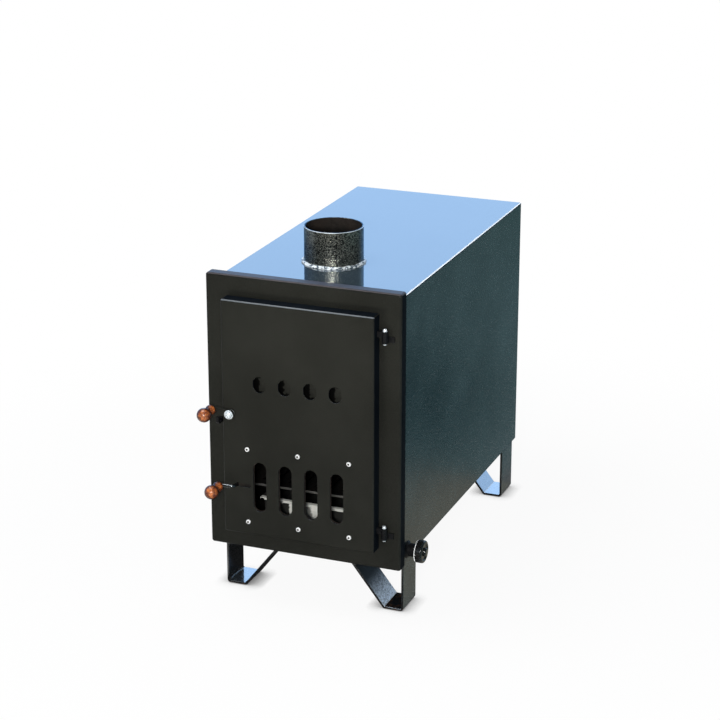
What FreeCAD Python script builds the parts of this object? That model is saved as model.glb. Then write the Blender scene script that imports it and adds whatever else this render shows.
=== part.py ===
import FreeCAD, Part
import math
import os
import re
import Sketcher

# Hot tub wood heater: a water-jacketed steel firebox on four bent legs.
# Millimetres, +Z up. The front faces -Y and the door's hinges are at +X.
# The box is drawn over the middle of the floor. The solids are then moved together when they
# are written, so that the origin lies on the floor under the middle of the whole outline.

SIZES = {
    # Firebox, whose inside is also the door opening
    "opening_width": 292,
    "opening_height": 459,
    "opening_rise": 58,
    "fire_plate": 4,
    "rear_gap": 45,
    "throat_plate": 4,
    # Box shell around the firebox and its water
    "body_length": 757,
    "side_space": 48,
    "roof_space": 39,
    "shell_plate": 4,
    # Legs: flat bar bent into an upright, a foot and a brace
    "leg_height": 110,
    "leg_strip": 72,
    "leg_bar": 5,
    "leg_inset": 24,
    "leg_bend": 8,
    "foot_width": 43,
    "brace_run": 86,
    # Front flange and folded front panel
    "flange_plate": 4,
    "panel_overhang": 11,
    "panel_rise": 16,
    "panel_depth": 24.5,
    "panel_sheet": 3,
    "panel_edge": 5.5,
    # Stays across the water jacket
    "stay_radius": 6,
    "stay_spread": 420,
    "stay_drop": 240,
    # Flue collar
    "flue_radius": 60,
    "flue_wall": 3,
    "flue_rise": 74,
    "flue_shift": 21,
    "flue_set": 190.5,
    "weld_leg": 5,
    "weld_gap": 0.2,
    # Smoke baffle and its ledges
    "baffle_drop": 77,
    "baffle_plate": 5,
    "baffle_turn": 120,
    "baffle_slack": 2,
    "ledge_width": 20,
    "ledge_bar": 5,
    # Grate, its rails and the ash pan below
    "grate_rise": 63.5,
    "grate_plate": 5,
    "grate_slack": 3,
    "grate_front": 14,
    "grate_slot": 9,
    "grate_rim": 24,
    "rail_width": 18,
    "rail_bar": 4,
    "pan_width": 200,
    "pan_length": 420,
    "pan_height": 44,
    "pan_sheet": 1.5,
    "pan_lip": 7,
    "pan_front": 10,
    # Water stubs on the rear
    "stub_radius": 30.15,
    "stub_wall": 3,
    "stub_reach": 60,
    "inlet_rise": 92,
    "outlet_drop": 86,
    # Drain
    "drain_set": 45.5,
    "drain_rise": 18.5,
    "nipple_radius": 13.45,
    "nipple_wall": 2.8,
    "nipple_reach": 31,
    "gasket_radius": 22.4,
    "gasket_thickness": 2.5,
    "cap_radius": 23,
    "cap_depth": 14,
    "cap_recess": 8,
    "cap_chamfer": 4,
    "cap_boss": 9,
    "thread_gap": 0.3,
    # Door
    "door_lap": 14,
    "door_depth": 27.3,
    "door_gap": 2,
    "door_sheet": 3,
    "door_edge": 3,
    "liner_sheet": 3,
    "seal_width": 8,
    "seal_depth": 10,
    "seal_gap": 0.4,
    "retainer_bar": 2.5,
    "retainer_depth": 7,
    "window_margin": 12,
    # Upper holes and lower air slots of the door
    "peep_pitch": 53.3,
    "peep_width": 27,
    "peep_height": 33,
    "peep_rise": 320,
    "vent_pitch": 54.6,
    "vent_width": 28,
    "vent_height": 105,
    "vent_rise": 104,
    # Air slide between its guides
    "slide_sheet": 2,
    "slide_gap": 0.3,
    "slide_step": 1,
    "slide_border": 12,
    "guide_sheet": 2,
    "guide_end": 12,
    "guide_half": 6,
    "guide_lip": 8,
    "rivet_pitch": 108,
    "rivet_offset": 25,
    "rivet_head": 4.8,
    "rivet_top": 2.9,
    "rivet_tail": 3.6,
    "rivet_shank": 2.4,
    "rivet_crown": 2.2,
    "rivet_gap": 0.1,
    # Bent air rod
    "rod_radius": 3.5,
    "rod_margin": 36,
    "rod_stand": 15,
    "rod_run": 29,
    "rod_bend": 8,
    # Turned wooden knobs
    "knob_radius": 14.5,
    "knob_length": 48,
    "knob_collar": 10,
    "knob_neck": 8,
    "knob_waist": 14,
    "knob_bite": 24,
    # Latch
    "latch_inset": 16.6,
    "latch_rise": 252.4,
    "lever_height": 16,
    "lever_bar": 5,
    "lever_boss": 10,
    "lever_reach": 38.2,
    "lever_tilt": 8,
    "lever_latched": 8,
    "lever_gap": 0.15,
    "bolt_radius": 5,
    "bolt_head": 8,
    "bolt_top": 5.6,
    "bolt_crown": 5.5,
    "bolt_gap": 0.08,
    "washer_radius": 9.2,
    "washer_sheet": 1.6,
    "nut_radius": 9.2,
    "nut_depth": 8,
    "stud_radius": 3,
    "stud_gap": 0.05,
    "keeper_bar": 6,
    "keeper_gap": 2.5,
    "keeper_lip": 5,
    "keeper_slack": 1.8,
    "keeper_clear": 0.8,
    "keeper_depth": 9,
    # Hinges
    "hinge_offset": 14.5,
    "hinge_stand": 10,
    "hinge_drop": 44,
    "hinge_lift": 37,
    "knuckle_radius": 6.5,
    "knuckle_height": 12,
    "knuckle_gap": 0.15,
    "knuckle_web": 8,
    "leaf_width": 17,
    "leaf_bar": 3,
    "pin_radius": 3.9,
    "pin_gap": 0.05,
    "pin_head": 4.6,
    "pin_top": 3.2,
    "pin_crown": 5,
    "pin_tail": 3,
}

# Places that follow from the sizes, as expressions of them
PLACES = {
    "half_width": "opening_width / 2 + side_space",
    "front": "-body_length / 2",
    "rear": "body_length / 2",
    "underside": "leg_height",
    "body_top": "fire_roof + roof_space",
    "panel_front": "front - panel_depth",
    "panel_half": "half_width + panel_overhang",
    "panel_top": "body_top + panel_rise",
    "fire_left": "-opening_width / 2",
    "fire_right": "opening_width / 2",
    "fire_floor": "underside + opening_rise",
    "fire_roof": "fire_floor + opening_height",
    "fire_rear": "rear - shell_plate - rear_gap",
    "fire_back": "fire_rear - fire_plate",
    "flue_x": "-flue_shift",
    "flue_y": "front + flue_set",
    "baffle_under": "fire_roof - baffle_drop",
    "grate_under": "fire_floor + grate_rise",
    "inlet_z": "underside + inlet_rise",
    "outlet_z": "body_top - outlet_drop",
    "drain_y": "front + drain_set",
    "drain_z": "underside + drain_rise",
    "cap_rear": "half_width + nipple_reach - cap_recess + thread_gap",
    "door_back": "panel_front - door_gap",
    "door_front": "door_back - door_depth",
    "skin_back": "door_front + door_sheet",
    "door_left": "fire_left - door_lap",
    "door_right": "fire_right + door_lap",
    "door_bottom": "fire_floor - door_lap",
    "door_top": "fire_roof + door_lap",
    "liner_back": "panel_front - seal_depth",
    "liner_front": "liner_back - liner_sheet",
    "seal_out": "door_sheet + seal_gap",
    "seal_in": "seal_out + seal_width",
    "vent_z": "door_bottom + vent_rise",
    "peep_z": "door_bottom + peep_rise",
    "guide_half_length": "rivet_pitch + guide_end",
    "row_offset": "vent_height / 2 + rivet_offset",
    "row_top": "vent_z + row_offset",
    "row_bottom": "vent_z - row_offset",
    "slide_front": "skin_back + slide_gap",
    "slide_back": "slide_front + slide_sheet",
    "slide_travel": "vent_pitch / 2",
    "rod_x": "-(1.5 * vent_pitch + vent_width / 2 + rod_margin)",
    "rod_y": "door_front - rod_stand",
    "air_knob_x": "rod_x - rod_run",
    "air_knob_y": "rod_y - rod_bend",
    "latch_x": "door_left + latch_inset",
    "latch_z": "door_bottom + latch_rise",
    "lever_back": "door_front - washer_sheet - lever_gap",
    "lever_front": "lever_back - lever_bar",
    "bolt_seat": "lever_front - lever_gap - washer_sheet",
    "latch_knob_x": "latch_x - lever_reach * cos(lever_tilt * 1 deg)",
    "latch_knob_z": "latch_z + lever_reach * sin(lever_tilt * 1 deg)",
    "keeper_near": "latch_inset + keeper_gap",
    "keeper_far": "keeper_near + keeper_bar",
    "lever_half": "lever_height / 2",
    "lip_top": "latch_z + keeper_near * tan(lever_tilt * 1 deg)"
               " - lever_half / cos(lever_tilt * 1 deg) - keeper_clear",
    "notch_floor": "latch_z - keeper_far * tan(lever_latched * 1 deg)"
                   " - lever_half / cos(lever_latched * 1 deg) - keeper_clear",
    "hinge_x": "door_right + hinge_offset",
    "hinge_y": "panel_front - hinge_stand",
}

WORD = re.compile(r"[a-z][a-z_]+")
TURN_TO_X = FreeCAD.Rotation(FreeCAD.Vector(0, 1, 0), 90)
TURN_TO_Y = FreeCAD.Rotation(FreeCAD.Vector(1, 0, 0), -90)
TURN_TO_FRONT = FreeCAD.Rotation(FreeCAD.Vector(1, 0, 0), 90)
UPRIGHT = FreeCAD.Rotation()
# Where a sketch's curves start before they are tied to their sizes
SKETCH_START = 20.0
# Slack when edges are picked by where they lie
NEAR = 0.01

doc = FreeCAD.newDocument("hot_tub_heater")
sheet = doc.addObject("Spreadsheet::Sheet", "Sizes")
sub_parts = []


def fill_sheet():
    for row, (name, value) in enumerate(SIZES.items(), start=1):
        sheet.set(f"A{row}", name)
        sheet.set(f"B{row}", str(value))
        sheet.setAlias(f"B{row}", name)
    doc.recompute()


def formula(text):
    """Spell out a place and give each size its cell."""
    def spell(match):
        word = match.group()
        if word in PLACES:
            return f"({formula(PLACES[word])})"
        if word in SIZES:
            return f"Sizes.{word}"
        return word
    return WORD.sub(spell, str(text))


def bind(thing, **settings):
    for name, text in settings.items():
        thing.setExpression(name.replace("__", "."), formula(text))


def place(thing, x=0, y=0, z=0, turn=UPRIGHT):
    thing.Placement = FreeCAD.Placement(FreeCAD.Vector(), turn)
    bind(thing, Placement__Base__x=x, Placement__Base__y=y, Placement__Base__z=z)


def keep(thing, label):
    thing.Label = label
    sub_parts.append(thing)
    return thing


# Solids from primitives

def box(name, x, y, z):
    block = doc.addObject("Part::Box", name)
    bind(block, Length=f"({x[1]}) - ({x[0]})", Width=f"({y[1]}) - ({y[0]})", Height=f"({z[1]}) - ({z[0]})")
    place(block, x[0], y[0], z[0])
    return block


def place_along(thing, axis, centre, low):
    first, second = centre
    if axis == "x":
        place(thing, low, first, second, TURN_TO_X)
    elif axis == "y":
        place(thing, first, low, second, TURN_TO_Y)
    else:
        place(thing, first, second, low)


def cylinder(name, axis, centre, span, radius):
    """A round bar along an axis, between two places on it."""
    rod = doc.addObject("Part::Cylinder", name)
    bind(rod, Radius=radius, Height=f"({span[1]}) - ({span[0]})")
    place_along(rod, axis, centre, span[0])
    return rod


def cone(name, axis, centre, span, radius_low, radius_high):
    taper = doc.addObject("Part::Cone", name)
    bind(taper, Radius1=radius_low, Radius2=radius_high, Height=f"({span[1]}) - ({span[0]})")
    place_along(taper, axis, centre, span[0])
    return taper


def fuse(name, shapes):
    joined = doc.addObject("Part::MultiFuse", name)
    joined.Shapes = shapes
    joined.Refine = True
    return joined


def cut(name, base, tools):
    result = doc.addObject("Part::Cut", name)
    result.Base = base
    result.Tool = tools[0] if len(tools) == 1 else fuse(f"{name}_tools", tools)
    return result


def group(name, shapes):
    bundle = doc.addObject("Part::Compound", name)
    bundle.Links = shapes
    return bundle


def ring_frame(name, outer_x, outer_z, wall, y):
    """A rectangular ring round the Y axis, with one wall thickness."""
    outer = box(f"{name}_outer", outer_x, y, outer_z)
    inner_x = (f"({outer_x[0]}) + {wall}", f"({outer_x[1]}) - {wall}")
    inner_z = (f"({outer_z[0]}) + {wall}", f"({outer_z[1]}) - {wall}")
    return cut(name, outer, [box(f"{name}_inner", inner_x, y, inner_z)])


# Bodies from sketches

def plane_of(body, role):
    return next(item for item in body.Origin.OriginFeatures if item.Role == role)


def new_body(name):
    return doc.addObject("PartDesign::Body", name)


def new_sketch(body, role, name):
    sketch = body.newObject("Sketcher::SketchObject", name)
    sketch.AttachmentSupport = [(plane_of(body, role), "")]
    sketch.MapMode = "FlatFace"
    return sketch


def constrain(sketch, text, kind, *where):
    index = sketch.addConstraint(Sketcher.Constraint(kind, *where))
    sketch.setExpression(f"Constraints[{index}]", formula(text))


def pin_point(sketch, curve, end, across, up):
    """Tie a point of a curve to its two coordinates."""
    spot = sketch.getPoint(curve, end)
    constrain(sketch, across, "DistanceX", -1, 1, curve, end, spot.x)
    constrain(sketch, up, "DistanceY", -1, 1, curve, end, spot.y)


def outline(sketch, points):
    """A closed outline of straight lines through places given as expressions."""
    count = len(points)
    first = sketch.GeometryCount
    corners = []
    for number in range(count):
        angle = 2 * math.pi * number / count
        corners.append(FreeCAD.Vector(SKETCH_START * math.cos(angle), SKETCH_START * math.sin(angle), 0))
    for number in range(count):
        sketch.addGeometry(Part.LineSegment(corners[number], corners[(number + 1) % count]), False)
    for number in range(count):
        sketch.addConstraint(Sketcher.Constraint("Coincident", first + number, 2, first + (number + 1) % count, 1))
    for number, (across, up) in enumerate(points):
        pin_point(sketch, first + number, 1, across, up)


def rectangle(sketch, x, z):
    outline(sketch, [(x[0], z[0]), (x[1], z[0]), (x[1], z[1]), (x[0], z[1])])


def circle(sketch, centre, radius):
    start = Part.Circle(FreeCAD.Vector(), FreeCAD.Vector(0, 0, 1), SKETCH_START)
    index = sketch.addGeometry(start, False)
    constrain(sketch, radius, "Radius", index, SKETCH_START)
    pin_point(sketch, index, 3, *centre)


def obround(sketch, first_centre, second_centre, radius):
    """A slot between two round ends: the second centre lies below or to the right of the first."""
    upright = first_centre[0] == second_centre[0]
    lean = 0 if upright else math.pi / 2
    along = FreeCAD.Vector(-math.sin(lean), math.cos(lean), 0) * SKETCH_START
    side = FreeCAD.Vector(math.cos(lean), math.sin(lean), 0) * SKETCH_START
    facing = FreeCAD.Vector(0, 0, 1)
    ends = []
    for centre, turn in ((along, 0), (-along, math.pi)):
        full = Part.Circle(centre, facing, SKETCH_START)
        ends.append(Part.ArcOfCircle(full, lean + turn, lean + turn + math.pi))
    first = sketch.addGeometry(ends[0], False)
    left = sketch.addGeometry(Part.LineSegment(along - side, -along - side), False)
    second = sketch.addGeometry(ends[1], False)
    right = sketch.addGeometry(Part.LineSegment(side - along, side + along), False)
    for one, other in ((first, left), (left, second), (second, right), (right, first)):
        sketch.addConstraint(Sketcher.Constraint("Tangent", one, 2, other, 1))
    constrain(sketch, radius, "Radius", first, SKETCH_START)
    constrain(sketch, radius, "Radius", second, SKETCH_START)
    pin_point(sketch, first, 3, *first_centre)
    pin_point(sketch, second, 3, *second_centre)


def tall_slot(sketch, x, z, width, height):
    reach = f"({height} - {width}) / 2"
    obround(sketch, (x, f"{z} + {reach}"), (x, f"{z} - {reach}"), f"{width} / 2")


def pad(body, sketch, length):
    feature = body.newObject("PartDesign::Pad", f"{sketch.Name}_pad")
    feature.Profile = sketch
    bind(feature, Length=length)
    doc.recompute()
    return feature


def pocket(body, sketch, length):
    """Cut on the side of the sketch where the pad lies, and see that material went."""
    before = body.Shape.Volume
    feature = body.newObject("PartDesign::Pocket", f"{sketch.Name}_pocket")
    feature.Profile = sketch
    feature.Reversed = True
    bind(feature, Length=length)
    doc.recompute()
    if body.Shape.Volume >= before:
        raise RuntimeError(f"{feature.Name} cuts nothing")
    return feature


def round_edges(body, base, chosen, radius):
    names = [f"Edge{number}" for number, edge in enumerate(base.Shape.Edges, start=1) if chosen(edge)]
    feature = body.newObject("PartDesign::Fillet", f"{base.Name}_round")
    feature.Base = (base, names)
    bind(feature, Radius=radius)
    doc.recompute()
    return feature


def runs_along_y(edge):
    first, last = edge.Vertexes[0].Point, edge.Vertexes[-1].Point
    return abs(abs(first.y - last.y) - edge.Length) < NEAR


def folded_pan(name, x, z, depth, sheet_size, edge_radius):
    """A sheet pan, open at the back, with rounded front edges. Its back lies on the XZ plane."""
    body = new_body(name)
    block_sketch = new_sketch(body, "XZ_Plane", f"{name}_outside")
    rectangle(block_sketch, x, z)
    block = pad(body, block_sketch, depth)
    face = block.Shape.BoundBox.YMin

    def outside(edge):
        return runs_along_y(edge) or edge.BoundBox.YMax < face + NEAR

    round_edges(body, block, outside, edge_radius)
    hollow = new_sketch(body, "XZ_Plane", f"{name}_hollow")
    inner_x = (f"{x[0]} + {sheet_size}", f"{x[1]} - {sheet_size}")
    inner_z = (f"{z[0]} + {sheet_size}", f"{z[1]} - {sheet_size}")
    rectangle(hollow, inner_x, inner_z)
    pocket(body, hollow, f"{depth} - {sheet_size}")
    return body


def pierce(body, name, depth):
    """Start a sketch of holes on a pan's back, and return what cuts it through."""
    holes = new_sketch(body, "XZ_Plane", name)

    def finish():
        pocket(body, holes, depth)

    return holes, finish


# Box shell

def pipe(name, axis, centre, span, radius, wall, weld_face, weld_way):
    """A welded tube with its bead on a plate, the bead facing one way along the axis."""
    bead_end = f"({weld_face}) + weld_leg" if weld_way > 0 else f"({weld_face}) - weld_leg"
    bead_span = (weld_face, bead_end) if weld_way > 0 else (bead_end, weld_face)
    wide, narrow = f"{radius} + weld_leg", radius
    bead_radii = (wide, narrow) if weld_way > 0 else (narrow, wide)
    outside = fuse(f"{name}_outside", [
        cylinder(f"{name}_tube", axis, centre, span, radius),
        cone(f"{name}_bead", axis, centre, bead_span, *bead_radii),
    ])
    bore = cylinder(f"{name}_bore", axis, centre, span, f"{radius} - {wall}")
    return keep(cut(name, outside, [bore]), name)


def shell():
    across = ("-half_width", "half_width")
    inside = ("-half_width + shell_plate", "half_width - shell_plate")
    along = ("front", "rear")
    upright = ("underside + shell_plate", "body_top - shell_plate")
    keep(box("bottom_plate", across, along, ("underside", "underside + shell_plate")), "bottom_plate")
    keep(box("left_side_plate", ("-half_width", "-half_width + shell_plate"), along, upright), "left_side_plate")
    flue_hole = cylinder("top_hole", "z", ("flue_x", "flue_y"), ("body_top - shell_plate", "body_top"),
                         "flue_radius + weld_gap")
    top = box("top_blank", across, along, ("body_top - shell_plate", "body_top"))
    keep(cut("top_plate", top, [flue_hole]), "top_plate")
    drain_hole = cylinder("drain_hole", "x", ("drain_y", "drain_z"), ("half_width - shell_plate", "half_width"),
                          "nipple_radius + weld_gap")
    right = box("right_blank", ("half_width - shell_plate", "half_width"), along, upright)
    keep(cut("right_side_plate", right, [drain_hole]), "right_side_plate")
    back = box("rear_blank", inside, ("rear - shell_plate", "rear"), upright)
    stub_holes = []
    for end in ("inlet", "outlet"):
        stub_holes.append(cylinder(f"{end}_hole", "y", ("0", f"{end}_z"),
                                   ("rear - shell_plate", "rear"), "stub_radius + weld_gap"))
    keep(cut("rear_plate", back, stub_holes), "rear_plate")


def front_frame():
    """The flange that closes the water jacket, the throat and the folded front panel."""
    opening_x = ("fire_left", "fire_right")
    opening_z = ("fire_floor", "fire_roof")
    inside_x = ("-panel_half + panel_sheet", "panel_half - panel_sheet")
    inside_z = ("underside + panel_sheet", "panel_top - panel_sheet")
    flange_y = ("front - flange_plate", "front")
    flange = box("flange_blank", inside_x, flange_y, inside_z)
    keep(cut("front_flange", flange, [box("flange_opening", opening_x, flange_y, opening_z)]), "front_flange")
    throat_x = ("fire_left - throat_plate", "fire_right + throat_plate")
    throat_z = ("fire_floor - throat_plate", "fire_roof + throat_plate")
    throat_y = ("panel_front + panel_sheet", "front - flange_plate")
    keep(ring_frame("door_throat", throat_x, throat_z, "throat_plate", throat_y), "door_throat")
    panel = folded_pan("front_panel", ("-panel_half", "panel_half"), ("underside", "panel_top"),
                       "panel_depth", "panel_sheet", "panel_edge")
    holes, finish = pierce(panel, "panel_opening", "panel_depth")
    rectangle(holes, opening_x, opening_z)
    finish()
    place(panel, y="front")
    keep(panel, "front_panel")


def firebox():
    wide = ("fire_left - fire_plate", "fire_right + fire_plate")
    along = ("front", "fire_rear")
    upright = ("fire_floor", "fire_roof")
    keep(box("firebox_floor", wide, along, ("fire_floor - fire_plate", "fire_floor")), "firebox_floor")
    keep(box("firebox_left", ("fire_left - fire_plate", "fire_left"), along, upright), "firebox_left")
    keep(box("firebox_right", ("fire_right", "fire_right + fire_plate"), along, upright), "firebox_right")
    keep(box("firebox_rear", ("fire_left", "fire_right"), ("fire_back", "fire_rear"), upright), "firebox_rear")
    roof_z = ("fire_roof", "fire_roof + fire_plate")
    roof = box("roof_blank", wide, along, roof_z)
    hole = cylinder("roof_hole", "z", ("flue_x", "flue_y"), roof_z, "flue_radius + weld_gap")
    keep(cut("firebox_roof", roof, [hole]), "firebox_roof")


def jacket_stays():
    """Round bars across the water space: four to each side plate and two pairs under the floor."""
    stays = []
    spans = {
        "left": ("-half_width + shell_plate", "fire_left - fire_plate"),
        "right": ("fire_right + fire_plate", "half_width - shell_plate"),
    }
    middle = "(fire_floor + fire_roof) / 2"
    for side, span in spans.items():
        for end in (-1, 1):
            for level in (-1, 1):
                centre = (f"{end} * stay_spread / 2", f"{middle} + {level} * stay_drop / 2")
                stays.append(cylinder(f"stay_{side}_{len(stays)}", "x", centre, span, "stay_radius"))
    under = ("underside + shell_plate", "fire_floor - fire_plate")
    for end in (-1, 1):
        for side in (-1, 1):
            centre = (f"{side} * opening_width / 4", f"{end} * stay_spread / 2")
            stays.append(cylinder(f"stay_under_{len(stays)}", "z", centre, under, "stay_radius"))
    keep(group("jacket_stays", stays), "jacket_stays")


def pipes():
    pipe("flue_collar", "z", ("flue_x", "flue_y"), ("fire_roof", "body_top + flue_rise"),
         "flue_radius", "flue_wall", "body_top", 1)
    for end in ("inlet", "outlet"):
        pipe(f"water_{end}", "y", ("0", f"{end}_z"), ("rear - shell_plate", "rear + stub_reach"),
             "stub_radius", "stub_wall", "rear", 1)
    pipe("drain_nipple", "x", ("drain_y", "drain_z"), ("half_width - shell_plate", "half_width + nipple_reach"),
         "nipple_radius", "nipple_wall", "half_width", 1)


def drain_cap():
    centre = ("drain_y", "drain_z")
    gasket_x = ("cap_rear - gasket_thickness", "cap_rear")
    gasket = cylinder("gasket_blank", "x", centre, gasket_x, "gasket_radius")
    gasket_hole = cylinder("gasket_hole", "x", centre, gasket_x, "nipple_radius + thread_gap")
    keep(cut("drain_gasket", gasket, [gasket_hole]), "drain_gasket")
    shoulder = "cap_rear + cap_depth - cap_chamfer"
    solid = fuse("cap_solid", [
        cylinder("cap_disc", "x", centre, ("cap_rear", shoulder), "cap_radius"),
        cone("cap_dome", "x", centre, (shoulder, "cap_rear + cap_depth"), "cap_radius", "cap_radius - cap_chamfer"),
        cylinder("cap_grip", "x", centre, ("cap_rear", "cap_rear + cap_depth + cap_chamfer"), "cap_boss"),
    ])
    recess = cylinder("cap_hollow", "x", centre, ("cap_rear", "cap_rear + cap_recess"),
                      "nipple_radius + thread_gap")
    keep(cut("drain_cap", solid, [recess]), "drain_cap")


def smoke_path():
    ledge_y = ("front", "fire_back - baffle_turn")
    ledge_z = ("baffle_under - ledge_bar", "baffle_under")
    keep(box("baffle_ledge_left", ("fire_left", "fire_left + ledge_width"), ledge_y, ledge_z), "baffle_ledge_left")
    keep(box("baffle_ledge_right", ("fire_right - ledge_width", "fire_right"), ledge_y, ledge_z),
         "baffle_ledge_right")
    baffle_x = ("fire_left + baffle_slack", "fire_right - baffle_slack")
    keep(box("smoke_baffle", baffle_x, ledge_y, ("baffle_under", "baffle_under + baffle_plate")), "smoke_baffle")


def grate_and_pan():
    rail_z = ("grate_under - rail_bar", "grate_under")
    rail_y = ("front", "fire_back")
    keep(box("grate_rail_left", ("fire_left", "fire_left + rail_width"), rail_y, rail_z), "grate_rail_left")
    keep(box("grate_rail_right", ("fire_right - rail_width", "fire_right"), rail_y, rail_z), "grate_rail_right")
    rows = 3
    columns = 9
    grate_x = ("fire_left + grate_slack", "fire_right - grate_slack")
    grate_y = ("front + grate_front", "fire_back - grate_slack")
    grate_z = ("grate_under", "grate_under + grate_plate")
    blank = box("grate_blank", grate_x, grate_y, grate_z)
    field_width = "(opening_width - 2 * grate_slack - 2 * grate_rim - grate_slot)"
    field_length = f"(({grate_y[1]}) - ({grate_y[0]}) - grate_rim)"
    slots = []
    for row in range(rows):
        low = f"({grate_y[0]}) + grate_rim + {row} * {field_length} / {rows}"
        high = f"({grate_y[0]}) + {row + 1} * {field_length} / {rows}"
        for column in range(columns):
            left = f"({grate_x[0]}) + grate_rim + {column} * {field_width} / {columns - 1}"
            slots.append(box(f"grate_slot_{row}_{column}", (left, f"{left} + grate_slot"), (low, high), grate_z))
    keep(cut("grate", blank, slots), "grate")
    pan_x = ("-pan_width / 2", "pan_width / 2")
    pan_y = ("front + pan_front", "front + pan_front + pan_length")
    pan_z = ("fire_floor", "fire_floor + pan_height")
    tray = box("pan_blank", pan_x, pan_y, pan_z)
    lip_x = (f"{pan_x[0]} - pan_lip", f"{pan_x[1]} + pan_lip")
    lip_y = (f"{pan_y[0]} - pan_lip", f"{pan_y[1]} + pan_lip")
    lip = box("pan_rim", lip_x, lip_y, (f"{pan_z[1]} - pan_sheet", pan_z[1]))
    hollow_x = (f"{pan_x[0]} + pan_sheet", f"{pan_x[1]} - pan_sheet")
    hollow_y = (f"{pan_y[0]} + pan_sheet", f"{pan_y[1]} - pan_sheet")
    hollow = box("pan_hollow", hollow_x, hollow_y, (f"{pan_z[0]} + pan_sheet", pan_z[1]))
    keep(cut("ash_pan", fuse("pan_solid", [tray, lip]), [hollow]), "ash_pan")


def leg(name, side, back_edge):
    """A bent flat bar: an upright under the side plate, a foot, and a brace back up to the underside."""
    slant = "sqrt(1 + pow(brace_run / leg_height; 2))"
    brace_top = "half_width - foot_width - brace_run"
    heel = f"half_width - foot_width - brace_run * leg_bar / leg_height + leg_bar * {slant}"
    profile = [
        ("half_width", "leg_height"),
        ("half_width", "0"),
        ("half_width - foot_width", "0"),
        (brace_top, "leg_height"),
        (f"{brace_top} + leg_bar * {slant}", "leg_height"),
        (heel, "leg_bar"),
        ("half_width - leg_bar", "leg_bar"),
        ("half_width - leg_bar", "leg_height"),
    ]
    body = new_body(name)
    sketch = new_sketch(body, "XZ_Plane", f"{name}_profile")
    outline(sketch, [(f"{side} * ({across})", up) for across, up in profile])
    bar = pad(body, sketch, "leg_strip")
    thickness = SIZES["leg_bar"]

    def outer_bend(edge):
        return runs_along_y(edge) and edge.BoundBox.ZMax < NEAR

    def inner_bend(edge):
        return runs_along_y(edge) and abs(edge.BoundBox.ZMax - thickness) < NEAR

    bent = round_edges(body, bar, outer_bend, "leg_bend")
    round_edges(body, bent, inner_bend, "leg_bend - leg_bar")
    place(body, y=back_edge)
    keep(body, name)


def legs():
    for end, back_edge in (("front", "front + leg_inset + leg_strip"), ("rear", "rear - leg_inset")):
        for side_name, side in (("left", -1), ("right", 1)):
            leg(f"leg_{end}_{side_name}", side, back_edge)


# Door

def door():
    skin = folded_pan("door_skin", ("door_left", "door_right"), ("door_bottom", "door_top"),
                      "door_depth", "door_sheet", "door_edge")
    holes, finish = pierce(skin, "door_holes", "door_depth")
    for number in range(4):
        step = number - 1.5
        tall_slot(holes, f"{step} * peep_pitch", "peep_z", "peep_width", "peep_height")
        tall_slot(holes, f"{step} * vent_pitch", "vent_z", "vent_width", "vent_height")
    for row in ("row_top", "row_bottom"):
        for number in (-1, 0, 1):
            circle(holes, (f"{number} * rivet_pitch", row), "rivet_shank + rivet_gap")
    circle(holes, ("latch_x", "latch_z"), "bolt_radius + rivet_gap")
    obround(holes, ("rod_x", "vent_z"), ("rod_x + slide_travel", "vent_z"), "rod_radius + slide_gap")
    finish()
    place(skin, y="door_back")
    keep(skin, "door_skin")
    inside_x = ("door_left + door_sheet", "door_right - door_sheet")
    inside_z = ("door_bottom + door_sheet", "door_top - door_sheet")
    liner_y = ("liner_front", "liner_back")
    window_x = ("-1.5 * vent_pitch - vent_width / 2 - window_margin",
                "1.5 * vent_pitch + vent_width / 2 + window_margin")
    window_z = ("vent_z - vent_height / 2 - window_margin", "vent_z + vent_height / 2 + window_margin")
    liner = box("liner_blank", inside_x, liner_y, inside_z)
    keep(cut("door_liner", liner, [box("liner_window", window_x, liner_y, window_z)]), "door_liner")
    seal_x = ("door_left + seal_out", "door_right - seal_out")
    seal_z = ("door_bottom + seal_out", "door_top - seal_out")
    keep(ring_frame("door_seal", seal_x, seal_z, "seal_width", ("liner_back", "panel_front - seal_gap")),
         "door_seal")
    retainer_x = ("door_left + seal_in", "door_right - seal_in")
    retainer_z = ("door_bottom + seal_in", "door_top - seal_in")
    keep(ring_frame("seal_retainer", retainer_x, retainer_z, "retainer_bar",
                    ("liner_back", "liner_back + retainer_depth")), "seal_retainer")


def slide_guide(name, row, way):
    """A joggled strip riveted to the skin, whose lip holds an edge of the air slide."""
    room = "slide_sheet + 2 * slide_gap"
    inner = f"{row} - {way} * guide_half"
    tip = f"{row} - {way} * (guide_half + guide_lip)"
    web = f"{row} - {way} * (guide_half - guide_sheet)"
    outer = f"{row} + {way} * guide_half"
    body = new_body(f"{name}_strip")
    sketch = new_sketch(body, "YZ_Plane", f"{name}_profile")
    outline(sketch, [
        ("skin_back", outer),
        ("skin_back", inner),
        (f"skin_back + {room}", inner),
        (f"skin_back + {room}", tip),
        (f"skin_back + {room} + guide_sheet", tip),
        (f"skin_back + {room} + guide_sheet", web),
        ("skin_back + guide_sheet", web),
        ("skin_back + guide_sheet", outer),
    ])
    pad(body, sketch, "2 * guide_half_length")
    place(body, x="-guide_half_length")
    holes = []
    for number in (-1, 0, 1):
        holes.append(cylinder(f"{name}_hole_{number + 1}", "y", (f"{number} * rivet_pitch", row),
                              ("skin_back", "skin_back + guide_sheet"), "rivet_shank + rivet_gap"))
    keep(cut(name, body, holes), name)


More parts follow.
